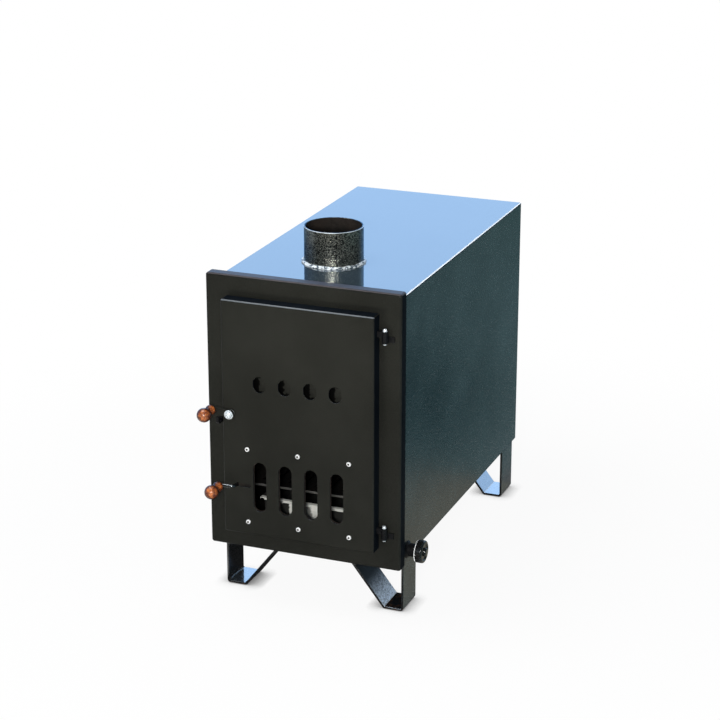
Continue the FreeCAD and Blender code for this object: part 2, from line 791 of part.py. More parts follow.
def rivets():
    solids = []
    tail_face = "skin_back + guide_sheet"
    for row in ("row_top", "row_bottom"):
        for number in (-1, 0, 1):
            name = f"rivet_{len(solids)}"
            centre = (f"{number} * rivet_pitch", row)
            solids.append(fuse(name, [
                cone(f"{name}_head", "y", centre, ("door_front - rivet_crown", "door_front"),
                     "rivet_top", "rivet_head"),
                cylinder(f"{name}_shank", "y", centre, ("door_front", tail_face), "rivet_shank"),
                cylinder(f"{name}_tail", "y", centre, (tail_face, f"{tail_face} + rivet_crown"), "rivet_tail"),
            ]))
    keep(group("guide_rivets", solids), "guide_rivets")


def air_slide():
    left = "rod_x - slide_border"
    right = "1.5 * vent_pitch + vent_width / 2 + slide_border"
    low = "row_bottom + guide_half + slide_gap"
    high = "row_top - guide_half - slide_gap"
    body = new_body("air_slide")
    plate = new_sketch(body, "XZ_Plane", "air_slide_plate")
    rectangle(plate, (left, right), (low, high))
    pad(body, plate, "slide_sheet")
    slots, finish = pierce(body, "air_slide_slots", "slide_sheet")
    for number in range(4):
        tall_slot(slots, f"{number - 1.5} * vent_pitch", "vent_z", "(vent_width - 2 * slide_step)",
                  "(vent_height - 2 * slide_step)")
    finish()
    place(body, y="slide_back")
    keep(body, "air_slide")


def quarter_bend(name, x, y, turn):
    bend = doc.addObject("Part::Torus", name)
    bind(bend, Radius1="rod_bend", Radius2="rod_radius")
    bend.Angle3 = 90
    place(bend, x, y, "vent_z", FreeCAD.Rotation(FreeCAD.Vector(0, 0, 1), turn))
    return bend


def air_rod():
    tip = "air_knob_y - knob_bite"
    keep(fuse("air_rod", [
        cylinder("rod_stem", "y", ("rod_x", "vent_z"), ("rod_y + rod_bend", "slide_front"), "rod_radius"),
        quarter_bend("rod_bend_in", "rod_x - rod_bend", "rod_y + rod_bend", -90),
        cylinder("rod_across", "x", ("rod_y", "vent_z"), ("air_knob_x + rod_bend", "rod_x - rod_bend"), "rod_radius"),
        quarter_bend("rod_bend_out", "air_knob_x + rod_bend", "rod_y - rod_bend", 90),
        cylinder("rod_tip", "y", ("air_knob_x", "vent_z"), (tip, "air_knob_y"), "rod_radius"),
    ]), "air_rod")


def knob(name, x, base, z, hole_radius):
    """A turned ball on a waisted collar, pointing to the front, bored for its stem."""
    centre = (x, z)
    ball_y = f"{base} - knob_length + knob_radius"
    ball = doc.addObject("Part::Sphere", f"{name}_ball")
    bind(ball, Radius="knob_radius")
    place(ball, x, ball_y, z)
    waist = f"{base} - knob_waist"
    solid = fuse(f"{name}_solid", [
        ball,
        cone(f"{name}_collar", "y", centre, (waist, base), "knob_neck", "knob_collar"),
        cylinder(f"{name}_neck", "y", centre, (ball_y, waist), "knob_neck"),
    ])
    bore = cylinder(f"{name}_bore", "y", centre, (f"{base} - knob_bite", base), hole_radius)
    keep(cut(name, solid, [bore]), name)


def latch():
    centre = ("latch_x", "latch_z")
    lever_y = ("-lever_bar", "0")
    bar = fuse("lever_blank", [
        box("lever_flat", ("-lever_reach", "0"), lever_y, ("-lever_half", "lever_half")),
        cylinder("lever_eye", "y", ("0", "0"), lever_y, "lever_boss"),
        cylinder("lever_end", "y", ("-lever_reach", "0"), lever_y, "lever_half"),
    ])
    lever = cut("latch_lever", bar, [
        cylinder("lever_pivot", "y", ("0", "0"), lever_y, "bolt_radius + bolt_gap"),
        cylinder("lever_stud", "y", ("-lever_reach", "0"), lever_y, "stud_radius + stud_gap"),
    ])
    place(lever, "latch_x", "lever_back", "latch_z", FreeCAD.Rotation(FreeCAD.Vector(0, 1, 0), SIZES["lever_tilt"]))
    keep(lever, "latch_lever")
    knob("latch_knob", "latch_knob_x", "lever_front", "latch_knob_z", "stud_radius + stud_gap")
    keep(cylinder("latch_stud", "y", ("latch_knob_x", "latch_knob_z"), ("lever_front - knob_bite", "lever_back"),
                  "stud_radius"), "latch_stud")
    nut_face = "skin_back + nut_depth"
    keep(fuse("latch_bolt", [
        cone("bolt_top", "y", centre, ("bolt_seat - bolt_crown", "bolt_seat"), "bolt_top", "bolt_head"),
        cylinder("bolt_shank", "y", centre, ("bolt_seat", nut_face), "bolt_radius"),
    ]), "latch_bolt")
    washers = []
    for name, span in (("outer", ("bolt_seat", "bolt_seat + washer_sheet")),
                       ("inner", ("door_front - washer_sheet", "door_front"))):
        disc = cylinder(f"washer_{name}_disc", "y", centre, span, "washer_radius")
        hole = cylinder(f"washer_{name}_hole", "y", centre, span, "bolt_radius + bolt_gap")
        washers.append(cut(f"washer_{name}", disc, [hole]))
    keep(group("latch_washers", washers), "latch_washers")
    hexagon = doc.addObject("Part::Prism", "nut_blank")
    hexagon.Polygon = 6
    bind(hexagon, Circumradius="nut_radius", Height="nut_depth")
    place_along(hexagon, "y", centre, "skin_back")
    nut_hole = cylinder("nut_hole", "y", centre, ("skin_back", nut_face), "bolt_radius + bolt_gap")
    keep(cut("latch_nut", hexagon, [nut_hole]), "latch_nut")


def keeper():
    """A hook plate on the panel: the lever drops behind its lip and lifts clear at rest."""
    bottom = "notch_floor - keeper_depth"
    notch_back = "lever_back + keeper_slack"
    notch_front = "lever_front - keeper_slack"
    lip_front = f"{notch_front} - keeper_lip"
    body = new_body("latch_keeper")
    sketch = new_sketch(body, "YZ_Plane", "keeper_profile")
    outline(sketch, [
        ("panel_front", bottom),
        ("panel_front", "lip_top"),
        (notch_back, "lip_top"),
        (notch_back, "notch_floor"),
        (notch_front, "notch_floor"),
        (notch_front, "lip_top"),
        (lip_front, "lip_top"),
        (lip_front, f"{bottom} + keeper_lip"),
        (f"{lip_front} + keeper_lip", bottom),
    ])
    pad(body, sketch, "keeper_bar")
    place(body, x="latch_x - keeper_far")
    keep(body, "latch_keeper")


def hinge(name, level):
    """A lift-off hinge: the frame's knuckle below, the door's above, on one headed pin."""
    centre = ("hinge_x", "hinge_y")
    low = (f"{level} - knuckle_height", f"{level} - knuckle_gap")
    high = (f"{level} + knuckle_gap", f"{level} + knuckle_height")
    both = (low[0], high[1])
    bore = cylinder(f"{name}_bore", "z", centre, both, "pin_radius + pin_gap")
    frame_side = fuse(f"{name}_frame_solid", [
        cylinder(f"{name}_frame_barrel", "z", centre, low, "knuckle_radius"),
        box(f"{name}_frame_web", ("hinge_x - knuckle_web / 2", "hinge_x + knuckle_web / 2"),
            ("hinge_y", "panel_front"), low),
        box(f"{name}_frame_leaf", ("hinge_x - knuckle_web / 2", "hinge_x + leaf_width"),
            ("panel_front - leaf_bar", "panel_front"), low),
    ])
    keep(cut(f"{name}_frame_knuckle", frame_side, [bore]), f"{name}_frame_knuckle")
    door_side = fuse(f"{name}_door_solid", [
        cylinder(f"{name}_door_barrel", "z", centre, high, "knuckle_radius"),
        box(f"{name}_door_web", ("door_right", "hinge_x"),
            ("hinge_y - knuckle_web / 2", "hinge_y + knuckle_web / 2"), high),
    ])
    door_bore = cylinder(f"{name}_door_bore", "z", centre, both, "pin_radius + pin_gap")
    keep(cut(f"{name}_door_knuckle", door_side, [door_bore]), f"{name}_door_knuckle")
    top = f"{high[1]} + knuckle_gap"
    keep(fuse(f"{name}_pin", [
        cylinder(f"{name}_pin_shank", "z", centre, (low[0], top), "pin_radius"),
        cone(f"{name}_pin_head", "z", centre, (top, f"{top} + pin_crown"), "pin_head", "pin_top"),
        cone(f"{name}_pin_foot", "z", centre, (f"{low[0]} - pin_tail", low[0]), "pin_top", "pin_head"),
    ]), f"{name}_pin")


def middle_of_outline():
    """The point on the floor under the middle of everything."""
    whole = FreeCAD.BoundBox()
    for item in sub_parts:
        whole.add(item.Shape.BoundBox)
    return FreeCAD.Vector(whole.Center.x, whole.Center.y, 0)


def check_and_write():
    doc.recompute()
    for item in doc.Objects:
        if "Invalid" in item.State or "Error" in item.State:
            raise RuntimeError(f"{item.Name} failed: {item.State}")
    for item in sub_parts:
        if item.Shape.isNull() or not item.Shape.isValid() or not item.Shape.Solids:
            raise RuntimeError(f"{item.Label} has no valid solid")
    os.makedirs("parts", exist_ok=True)
    middle = middle_of_outline()
    print("moved by", -middle)
    for item in sub_parts:
        shape = item.Shape.copy()
        shape.translate(-middle)
        shape.exportStep(f"parts/{item.Label}.step")
        print(item.Label, len(shape.Solids), round(shape.Volume), shape.BoundBox)


fill_sheet()
shell()
front_frame()
firebox()
jacket_stays()
pipes()
drain_cap()
smoke_path()
grate_and_pan()
legs()
door()
slide_guide("slide_guide_top", "row_top", 1)
slide_guide("slide_guide_bottom", "row_bottom", -1)
rivets()
air_slide()
air_rod()
knob("air_knob", "air_knob_x", "air_knob_y", "vent_z", "rod_radius + stud_gap")
latch()
keeper()
hinge("hinge_upper", "door_top - hinge_drop")
hinge("hinge_lower", "door_bottom + hinge_lift")
check_and_write()
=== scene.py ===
import math
import bpy
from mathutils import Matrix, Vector


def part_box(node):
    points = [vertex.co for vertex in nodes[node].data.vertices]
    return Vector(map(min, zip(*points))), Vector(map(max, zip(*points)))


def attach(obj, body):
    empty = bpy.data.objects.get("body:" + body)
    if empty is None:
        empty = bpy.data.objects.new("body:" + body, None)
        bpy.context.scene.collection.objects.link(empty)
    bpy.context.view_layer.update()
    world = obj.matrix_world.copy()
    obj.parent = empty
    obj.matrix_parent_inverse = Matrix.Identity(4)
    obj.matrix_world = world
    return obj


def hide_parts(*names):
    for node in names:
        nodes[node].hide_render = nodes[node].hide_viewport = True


# Hot tub wood heater: the looks, in metres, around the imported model.
# The front faces -Y, the door's hinges are at +X, and the floor is at z = 0.

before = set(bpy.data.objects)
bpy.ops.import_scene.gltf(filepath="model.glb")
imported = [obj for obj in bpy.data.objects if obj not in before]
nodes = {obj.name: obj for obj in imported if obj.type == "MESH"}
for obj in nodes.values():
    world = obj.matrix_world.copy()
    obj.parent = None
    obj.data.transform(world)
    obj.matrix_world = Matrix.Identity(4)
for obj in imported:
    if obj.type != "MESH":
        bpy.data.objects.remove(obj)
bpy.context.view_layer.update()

MM = 0.001
TINY = 0.02 * MM
# Points closer together than this are one point
MERGE = 0.005 * MM
QUARTER = math.pi / 2
SMOOTH_ANGLE = math.radians(38)


# Selecting and shaping

def object_mode():
    if bpy.context.mode != "OBJECT":
        bpy.ops.object.mode_set(mode="OBJECT")


def only(piece):
    """Leave one object selected and active."""
    object_mode()
    bpy.ops.object.select_all(action="DESELECT")
    piece.select_set(True)
    bpy.context.view_layer.objects.active = piece


def edit_all(piece, kind="VERT"):
    only(piece)
    bpy.ops.object.mode_set(mode="EDIT")
    bpy.ops.mesh.select_mode(type=kind)
    bpy.ops.mesh.select_all(action="SELECT")


def edit_where(piece, kind, test):
    """Go into edit mode with only the edges or faces selected that pass a test of their place."""
    only(piece)
    mesh = piece.data
    for group in (mesh.vertices, mesh.edges, mesh.polygons):
        group.foreach_set("select", [False] * len(group))
    if kind == "EDGE":
        for edge in mesh.edges:
            first, last = (mesh.vertices[index].co for index in edge.vertices)
            edge.select = test(first, last)
    else:
        for face in mesh.polygons:
            face.select = test(face.center, face.normal)
    bpy.ops.object.mode_set(mode="EDIT")
    bpy.ops.mesh.select_mode(type=kind)


def extrude(x=0.0, y=0.0, z=0.0):
    bpy.ops.mesh.extrude_region_move(TRANSFORM_OT_translate={"value": (x, y, z)})


def apply_modifiers(piece):
    only(piece)
    for modifier in list(piece.modifiers):
        bpy.ops.object.modifier_apply(modifier=modifier.name)


def settle(piece, name):
    """Put the place, turn and scale of a new shape into its mesh and name it."""
    only(piece)
    bpy.ops.object.transform_apply(location=True, rotation=True, scale=True)
    piece.name = name
    return piece


def smooth(piece):
    only(piece)
    bpy.ops.object.shade_smooth_by_angle(angle=SMOOTH_ANGLE)


def round_off(piece, edge, steps=2, angle=40):
    """Break the sharp edges all over, and keep the large faces flat beside them."""
    modifier = piece.modifiers.new("Edge", "BEVEL")
    modifier.width = edge * MM
    modifier.segments = steps
    modifier.limit_method = "ANGLE"
    modifier.angle_limit = math.radians(angle)
    apply_modifiers(piece)
    smooth(piece)
    modifier = piece.modifiers.new("Even", "WEIGHTED_NORMAL")
    modifier.keep_sharp = True
    apply_modifiers(piece)
    return piece


def subdivide_smooth(piece):
    modifier = piece.modifiers.new("Smooth", "SUBSURF")
    modifier.levels = 1
    modifier.render_levels = 1
    apply_modifiers(piece)
    smooth(piece)
    return piece


def outward(piece):
    edit_all(piece, "FACE")
    bpy.ops.mesh.remove_doubles(threshold=MERGE)
    bpy.ops.mesh.normals_make_consistent(inside=False)
    object_mode()


def merged_copy(node):
    """A copy of a node's loose triangles as one mesh with whole faces."""
    piece = bpy.data.objects.new(f"{node}_finished", nodes[node].data.copy())
    bpy.context.scene.collection.objects.link(piece)
    edit_all(piece, "FACE")
    bpy.ops.mesh.remove_doubles(threshold=MERGE)
    bpy.ops.mesh.dissolve_limited(angle_limit=math.radians(0.5))
    object_mode()
    return piece


def rounded_copy(node, edge=0.5, steps=2, angle=40):
    return round_off(merged_copy(node), edge, steps, angle)


def twin(piece, name, move):
    """A copy with its own mesh, moved to its place."""
    other = piece.copy()
    other.data = piece.data.copy()
    bpy.context.scene.collection.objects.link(other)
    other.location = move
    return settle(other, name)


def join(pieces, name):
    only(pieces[0])
    for piece in pieces[1:]:
        piece.select_set(True)
    bpy.ops.object.join()
    pieces[0].name = name
    return pieces[0]


def second_finish(piece, material, test):
    """Give the faces that pass a test of their place another material."""
    piece.data.materials.append(material)
    for face in piece.data.polygons:
        if test(face.center, face.normal):
            face.material_index = len(piece.data.materials) - 1


def sideways(point, facing):
    return abs(facing.x) > 0.9


def forward(point, facing):
    return facing.y < -0.5


def finish_piece(piece, material, body, slot_name, *stands_for):
    piece.data.materials.clear()
    piece.data.materials.append(material)
    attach(piece, body)
    if stands_for:
        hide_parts(*stands_for)
    return piece


def middle(node):
    low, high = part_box(node)
    return (low + high) / 2


# Shader groups for effects that several finishes share

def new_group(name, inputs, outputs):
    group = bpy.data.node_groups.new(name, "ShaderNodeTree")
    for label, value in inputs.items():
        socket = group.interface.new_socket(name=label, in_out="INPUT", socket_type="NodeSocketFloat")
        socket.default_value = value
    for label in outputs:
        group.interface.new_socket(name=label, in_out="OUTPUT", socket_type="NodeSocketFloat")
    entry = group.nodes.new("NodeGroupInput")
    end = group.nodes.new("NodeGroupOutput")
    return group, entry, end


# Most values of a noise lie between these
SPREAD = (0.3, 0.7)


def noise_node(tree, scale, detail, rough=0.55):
    node = tree.nodes.new("ShaderNodeTexNoise")
    node.inputs["Scale"].default_value = scale
    node.inputs["Detail"].default_value = detail
    node.inputs["Roughness"].default_value = rough
    return node


def place_node(tree, stretch=(1, 1, 1), turn=(0, 0, 0)):
    """Object coordinates, stretched or turned."""
    where = tree.nodes.new("ShaderNodeTexCoord")
    mapping = tree.nodes.new("ShaderNodeMapping")
    mapping.inputs["Scale"].default_value = stretch
    mapping.inputs["Rotation"].default_value = turn
    tree.links.new(where.outputs["Object"], mapping.inputs["Vector"])
    return mapping.outputs["Vector"]


def math_node(tree, operation, first, second=None):
    node = tree.nodes.new("ShaderNodeMath")
    node.operation = operation
    for socket, value in zip(node.inputs, (first, second)):
        if value is None:
            continue
        if isinstance(value, (int, float)):
            socket.default_value = value
        else:
            tree.links.new(value, socket)
    return node.outputs[0]


def off_node(tree, value, centre):
    """How far a value lies from a centre, on either side."""
    return math_node(tree, "ABSOLUTE", math_node(tree, "SUBTRACT", value, centre))


def axes_node(tree):
    """The object coordinates one by one."""
    axes = tree.nodes.new("ShaderNodeSeparateXYZ")
    tree.links.new(place_node(tree), axes.inputs["Vector"])
    return axes.outputs


def range_node(tree, value, low, high, out_low, out_high):
    node = tree.nodes.new("ShaderNodeMapRange")
    node.interpolation_type = "SMOOTHSTEP"
    tree.links.new(value, node.inputs["Value"])
    for label, number in (("From Min", low), ("From Max", high), ("To Min", out_low), ("To Max", out_high)):
        node.inputs[label].default_value = number
    return node.outputs["Result"]


def grain_group():
    """Broad mottling and fine grain, such as sprayed paint or sheet metal shows."""
    group, entry, end = new_group("grain", {"Broad": 9.0, "Fine": 900.0}, ["Mottle", "Grain"])
    spot = place_node(group)
    for label, output, detail in (("Broad", "Mottle", 5.0), ("Fine", "Grain", 2.0)):
        noise = noise_node(group, 1.0, detail)
        group.links.new(spot, noise.inputs["Vector"])
        group.links.new(entry.outputs[label], noise.inputs["Scale"])
        group.links.new(noise.outputs["Fac"], end.inputs[output])
    return group


def low_dirt_group():
    """A patchy mask that fades out upwards from the floor."""
    group, entry, end = new_group("low_dirt", {"Reach": 0.05, "Patch": 60.0}, ["Mask"])
    spot = place_node(group)
    axes = group.nodes.new("ShaderNodeSeparateXYZ")
    group.links.new(spot, axes.inputs["Vector"])
    noise = noise_node(group, 1.0, 6.0, 0.65)
    group.links.new(spot, noise.inputs["Vector"])
    group.links.new(entry.outputs["Patch"], noise.inputs["Scale"])
    rise = math_node(group, "DIVIDE", axes.outputs["Z"], entry.outputs["Reach"])
    fade = math_node(group, "MAXIMUM", math_node(group, "SUBTRACT", 1.0, rise), 0.0)
    patchy = range_node(group, noise.outputs["Fac"], 0.46, 0.66, 0.0, 1.0)
    group.links.new(math_node(group, "MULTIPLY", fade, patchy), end.inputs["Mask"])
    return group


def cells_group():
    """Irregular cells: hammered paint, zinc spangle or a cast skin."""
    group, entry, end = new_group("cells", {"Size": 180.0}, ["Tone", "Dimple"])
    spot = place_node(group)
    for output, feature, socket in (("Tone", "F1", "Color"), ("Dimple", "SMOOTH_F1", "Distance")):
        cells = group.nodes.new("ShaderNodeTexVoronoi")
        cells.feature = feature
        group.links.new(spot, cells.inputs["Vector"])
        group.links.new(entry.outputs["Size"], cells.inputs["Scale"])
        group.links.new(cells.outputs[socket], end.inputs[output])
    return group


GRAIN = grain_group()
LOW_DIRT = low_dirt_group()
CELLS = cells_group()


# Finishes

def new_material(name):
    material = bpy.data.materials.new(name)
    material.use_nodes = True
    tree = material.node_tree
    return material, tree, tree.nodes["Principled BSDF"]


def use_group(tree, group, **values):
    node = tree.nodes.new("ShaderNodeGroup")
    node.node_tree = group
    for label, value in values.items():
        node.inputs[label].default_value = value
    return node.outputs


def mix_colours(tree, factor, first, second):
    node = tree.nodes.new("ShaderNodeMix")
    node.data_type = "RGBA"
    tree.links.new(factor, node.inputs["Factor"])
    for label, value in (("A", first), ("B", second)):
        socket = next(s for s in node.inputs if s.name == label and s.type == "RGBA")
        if isinstance(value, tuple):
            socket.default_value = (*value, 1)
        else:
            tree.links.new(value, socket)
    return next(s for s in node.outputs if s.type == "RGBA")


def bump(tree, shader, height, strength, depth):
    node = tree.nodes.new("ShaderNodeBump")
    node.inputs["Strength"].default_value = strength
    node.inputs["Distance"].default_value = depth * MM
    tree.links.new(height, node.inputs["Height"])
    tree.links.new(node.outputs["Normal"], shader.inputs["Normal"])


def colour_and_rough(tree, shader, tone, dark, light, speck, smoothest, roughest):
    """The base colour and roughness of a finish, between two ends each."""
    mask = range_node(tree, tone, *SPREAD, 0.0, 1.0)
    tree.links.new(mix_colours(tree, mask, dark, light), shader.inputs["Base Color"])
    tree.links.new(range_node(tree, speck, *SPREAD, smoothest, roughest), shader.inputs["Roughness"])


def sprayed_paint(name, dark, light, rough, grain_size, grain_depth, shine):
    """Black stove paint: slight mottling, fine grain, and rust where it is worn near the floor."""
    material, tree, shader = new_material(name)
    grain = use_group(tree, GRAIN, Broad=7.0, Fine=grain_size)
    both = math_node(tree, "MULTIPLY", math_node(tree, "ADD", grain["Mottle"], grain["Grain"]), 0.5)
    tone = range_node(tree, both, 0.34, 0.66, 0.0, 1.0)
    paint = mix_colours(tree, tone, dark, light)
    dirt = use_group(tree, LOW_DIRT, Reach=0.016, Patch=90.0)
    worn = mix_colours(tree, dirt["Mask"], paint, (0.075, 0.036, 0.018))
    tree.links.new(worn, shader.inputs["Base Color"])
    speck = range_node(tree, grain["Grain"], *SPREAD, rough[0], rough[1])
    tree.links.new(speck, shader.inputs["Roughness"])
    bump(tree, shader, grain["Grain"], 0.5, grain_depth)
    shader.inputs["Specular IOR Level"].default_value = shine
    return material


def gloss_coat(material, rough, index=1.5):
    """A clear coat all over. A high index makes it mirror strongly."""
    shader = material.node_tree.nodes["Principled BSDF"]
    shader.inputs["Coat Weight"].default_value = 1.0
    shader.inputs["Coat Roughness"].default_value = rough
    shader.inputs["Coat IOR"].default_value = index
    return material


def front_paint():
    return sprayed_paint("front_paint", (0.0115, 0.0117, 0.0096), (0.0200, 0.0203, 0.0170), (0.36, 0.46),
                         grain_size=600.0, grain_depth=0.05, shine=0.12)


def shaded_fold_paint():
    """A darker, duller copy of the paint for the returns of the folded sheets and the creases: painted shade.
    """
    return sprayed_paint("shaded_fold_paint", (0.004, 0.006, 0.009), (0.008, 0.011, 0.015), (0.6, 0.75),
                         grain_size=600.0, grain_depth=0.05, shine=0.02)


# Its teal tint is a painted reflection of the surroundings; its gloss mirrors them as well
def side_paint():
    return sprayed_paint("side_paint", (0.001, 0.003, 0.004), (0.028, 0.046, 0.050), (0.24, 0.38),
                         grain_size=280.0, grain_depth=1.1, shine=0.42)


def sheen_band_paint():
    """A lighter, purplish and duller copy of the paint on the upper fold of the front panel: a painted sheen.
    """
    return sprayed_paint("sheen_band_paint", (0.030, 0.022, 0.026), (0.055, 0.044, 0.050), (0.40, 0.55),
                         grain_size=500.0, grain_depth=0.10, shine=0.35)


def highlight_edge_paint():
    """A pale grey-blue copy of the paint on the upper bend of the door: a painted highlight."""
    return sprayed_paint("highlight_edge_paint", (0.085, 0.098, 0.110), (0.135, 0.152, 0.168), (0.35, 0.5),
                         grain_size=500.0, grain_depth=0.10, shine=0.5)


# The bluish base colour is a painted sky sheen; the clear coat mirrors for real
def top_paint():
    paint = sprayed_paint("top_paint", (0.030, 0.047, 0.064), (0.042, 0.062, 0.082), (0.30, 0.40),
                          grain_size=700.0, grain_depth=0.02, shine=0.0)
    return gloss_coat(paint, 0.045, 2.8)


def leg_paint():
    paint = sprayed_paint("leg_paint", (0.005, 0.006, 0.007), (0.010, 0.012, 0.014), (0.20, 0.32),
                          grain_size=800.0, grain_depth=0.03, shine=0.9)
    return gloss_coat(paint, 0.06)


def sheen_foot_paint():
    """A lighter, bluish copy of the paint on the upper side of feet and braces, a painted sky sheen, under a
    strongly mirroring coat.
    """
    paint = sprayed_paint("sheen_foot_paint", (0.030, 0.040, 0.052), (0.060, 0.074, 0.090), (0.20, 0.32),
                          grain_size=500.0, grain_depth=0.03, shine=1.0)
    return gloss_coat(paint, 0.05, 3.0)


# Where the dust and painted sheen on a brace are thickest, and where they end
DUST_SHEEN_LOW = 4 * MM
DUST_SHEEN_HIGH = 60 * MM


def dust_and_sheen_paint():
    """Dull paint under grainy dust with a painted pale-blue sheen, both thinning out upwards."""
    material, tree, shader = new_material("dust_and_sheen_paint")
    grain = use_group(tree, GRAIN, Broad=260.0, Fine=700.0)
    rise = range_node(tree, axes_node(tree)["Z"], DUST_SHEEN_LOW, DUST_SHEEN_HIGH, 1.0, 0.0)
    speck = range_node(tree, grain["Mottle"], 0.36, 0.64, 0.35, 1.0)
    mask = math_node(tree, "MULTIPLY", rise, speck)
    colour = mix_colours(tree, mask, (0.010, 0.012, 0.013), (0.74, 0.86, 1.0))
    tree.links.new(colour, shader.inputs["Base Color"])
    tree.links.new(range_node(tree, mask, 0.0, 1.0, 0.45, 0.7), shader.inputs["Roughness"])
    tree.links.new(mask, shader.inputs["Coat Weight"])
    shader.inputs["Coat IOR"].default_value = 2.0
    shader.inputs["Coat Roughness"].default_value = 0.2
    shader.inputs["Specular IOR Level"].default_value = 0.2
    bump(tree, shader, grain["Mottle"], 0.5, 0.4)
    return material


def hammered_paint():
    """Silvery hammer paint with dark pits."""
    material, tree, shader = new_material("hammered_paint")
    cells = use_group(tree, CELLS, Size=300.0)
    grain = use_group(tree, GRAIN, Broad=390.0, Fine=800.0)
    pits = range_node(tree, grain["Mottle"], 0.45, 0.54, 0.0, 1.0)
    paint = mix_colours(tree, pits, (0.001, 0.001, 0.001), (0.26, 0.262, 0.225))
    tree.links.new(paint, shader.inputs["Base Color"])
    tree.links.new(range_node(tree, grain["Grain"], *SPREAD, 0.16, 0.28), shader.inputs["Roughness"])
    shader.inputs["Metallic"].default_value = 0.8
    shader.inputs["Specular IOR Level"].default_value = 0.6
    # A painted reflection: the blue specular tint gives the flue's edges the colour of sky
    shader.inputs["Specular Tint"].default_value = (0.22, 0.48, 0.70, 1)
    height = math_node(tree, "SUBTRACT", math_node(tree, "MULTIPLY", grain["Mottle"], 1.6), cells["Dimple"])
    bump(tree, shader, height, 0.5, 0.7)
    return material


def weld_with_glints():
    material, tree, shader = new_material("weld_bead")
    grain = use_group(tree, GRAIN, Broad=210.0, Fine=600.0)
    glints = range_node(tree, grain["Mottle"], 0.42, 0.54, 0.0, 1.0)
    # The bluish-white patches are painted glints of the sky
    colour = mix_colours(tree, glints, (0.10, 0.14, 0.18), (0.90, 0.95, 0.98))
    tree.links.new(colour, shader.inputs["Base Color"])
    tree.links.new(range_node(tree, grain["Grain"], *SPREAD, 0.2, 0.36), shader.inputs["Roughness"])
    tree.links.new(range_node(tree, glints, 0.0, 1.0, 0.6, 0.1), shader.inputs["Metallic"])
    bump(tree, shader, grain["Mottle"], 0.9, 1.4)
    return material


# Dark paint for welds, also used as painted shade on the keeper and the hinge knuckles
def weld_and_shade_paint():
    material, tree, shader = new_material("weld_and_shade_paint")
    grain = use_group(tree, GRAIN, Broad=210.0, Fine=600.0)
    colour_and_rough(tree, shader, grain["Mottle"], (0.004, 0.004, 0.005), (0.009, 0.009, 0.010),
                     grain["Grain"], 0.4, 0.55)
    shader.inputs["Specular IOR Level"].default_value = 0.15
    bump(tree, shader, grain["Mottle"], 0.6, 0.8)
    return material


def sooty_steel(name, dark, light):
    material, tree, shader = new_material(name)
    grain = use_group(tree, GRAIN, Broad=18.0, Fine=300.0)
    colour_and_rough(tree, shader, grain["Mottle"], dark, light, grain["Grain"], 0.6, 0.9)
    shader.inputs["Specular IOR Level"].default_value = 0.15
    bump(tree, shader, grain["Grain"], 0.4, 0.5)
    return material


def lit_grate_iron():
    material, tree, shader = new_material("lit_grate_iron")
    cells = use_group(tree, CELLS, Size=420.0)
    grain = use_group(tree, GRAIN, Broad=40.0, Fine=520.0)
    colour_and_rough(tree, shader, grain["Mottle"], (0.10, 0.10, 0.098), (0.20, 0.195, 0.185), grain["Grain"],
                     0.4, 0.6)
    shader.inputs["Metallic"].default_value = 0.7
    bump(tree, shader, cells["Dimple"], 0.3, 0.4)
    return material


# Where the front of the ash pan is left bright: a painted patch of light from the slots
LIT_PATCH_MIDDLE = -28 * MM
LIT_PATCH_HALF = 32 * MM
# A smear of painted shade in the bright patch
SHADE_SMEAR_MIDDLE = -20 * MM
SHADE_SMEAR_HALF = 10 * MM
# How deep the pan's rim stays bright, downwards and to the rear, and how softly the painted shade ends
BRIGHT_RIM = 9 * MM
SOFT_END = 1 * MM
# How far the ends of the painted shade wander
PAN_WANDER = 30 * MM


def galvanised_sheet():
    """Spangled zinc, painted dark as shade inside and below its front rim, apart from a painted patch of
    light.
    """
    material, tree, shader = new_material("galvanised_sheet")
    low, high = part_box("ash_pan")
    cells = use_group(tree, CELLS, Size=95.0)
    grain = use_group(tree, GRAIN, Broad=55.0, Fine=500.0)
    spangle = range_node(tree, cells["Tone"], *SPREAD, 0.0, 1.0)
    zinc = mix_colours(tree, spangle, (0.84, 0.85, 0.80), (0.95, 0.95, 0.90))
    axes = axes_node(tree)
    drift = math_node(tree, "MULTIPLY", math_node(tree, "SUBTRACT", grain["Mottle"], 0.5), PAN_WANDER)
    across = math_node(tree, "ADD", axes["X"], drift)
    rise = math_node(tree, "ADD", axes["Z"], math_node(tree, "MULTIPLY", drift, 0.15))
    rim_end = high.z - BRIGHT_RIM
    below_rim = range_node(tree, rise, rim_end, rim_end + SOFT_END, 1.0, 0.0)
    off_patch = off_node(tree, across, LIT_PATCH_MIDDLE)
    beyond = range_node(tree, off_patch, LIT_PATCH_HALF - SOFT_END, LIT_PATCH_HALF + SOFT_END, 0.0, 1.0)
    rear_end = low.y + BRIGHT_RIM
    behind = range_node(tree, axes["Y"], rear_end, rear_end + SOFT_END, 0.0, 1.0)
    shade_smear = range_node(tree, off_node(tree, across, SHADE_SMEAR_MIDDLE), SHADE_SMEAR_HALF / 2, SHADE_SMEAR_HALF, 0.75, 0.0)
    # Painted shade below the rim beyond the patch of light, and the smear of shade within it
    shaded_front = math_node(tree, "MULTIPLY", below_rim, math_node(tree, "MAXIMUM", beyond, shade_smear))
    painted_shade = math_node(tree, "MAXIMUM", shaded_front, behind)
    tree.links.new(mix_colours(tree, painted_shade, zinc, (0.008, 0.008, 0.007)), shader.inputs["Base Color"])
    tree.links.new(range_node(tree, painted_shade, 0.0, 1.0, 0.45, 0.9), shader.inputs["Roughness"])
    tree.links.new(range_node(tree, painted_shade, 0.0, 1.0, 0.15, 0.0), shader.inputs["Metallic"])
    bump(tree, shader, grain["Grain"], 0.15, 0.2)
    return material


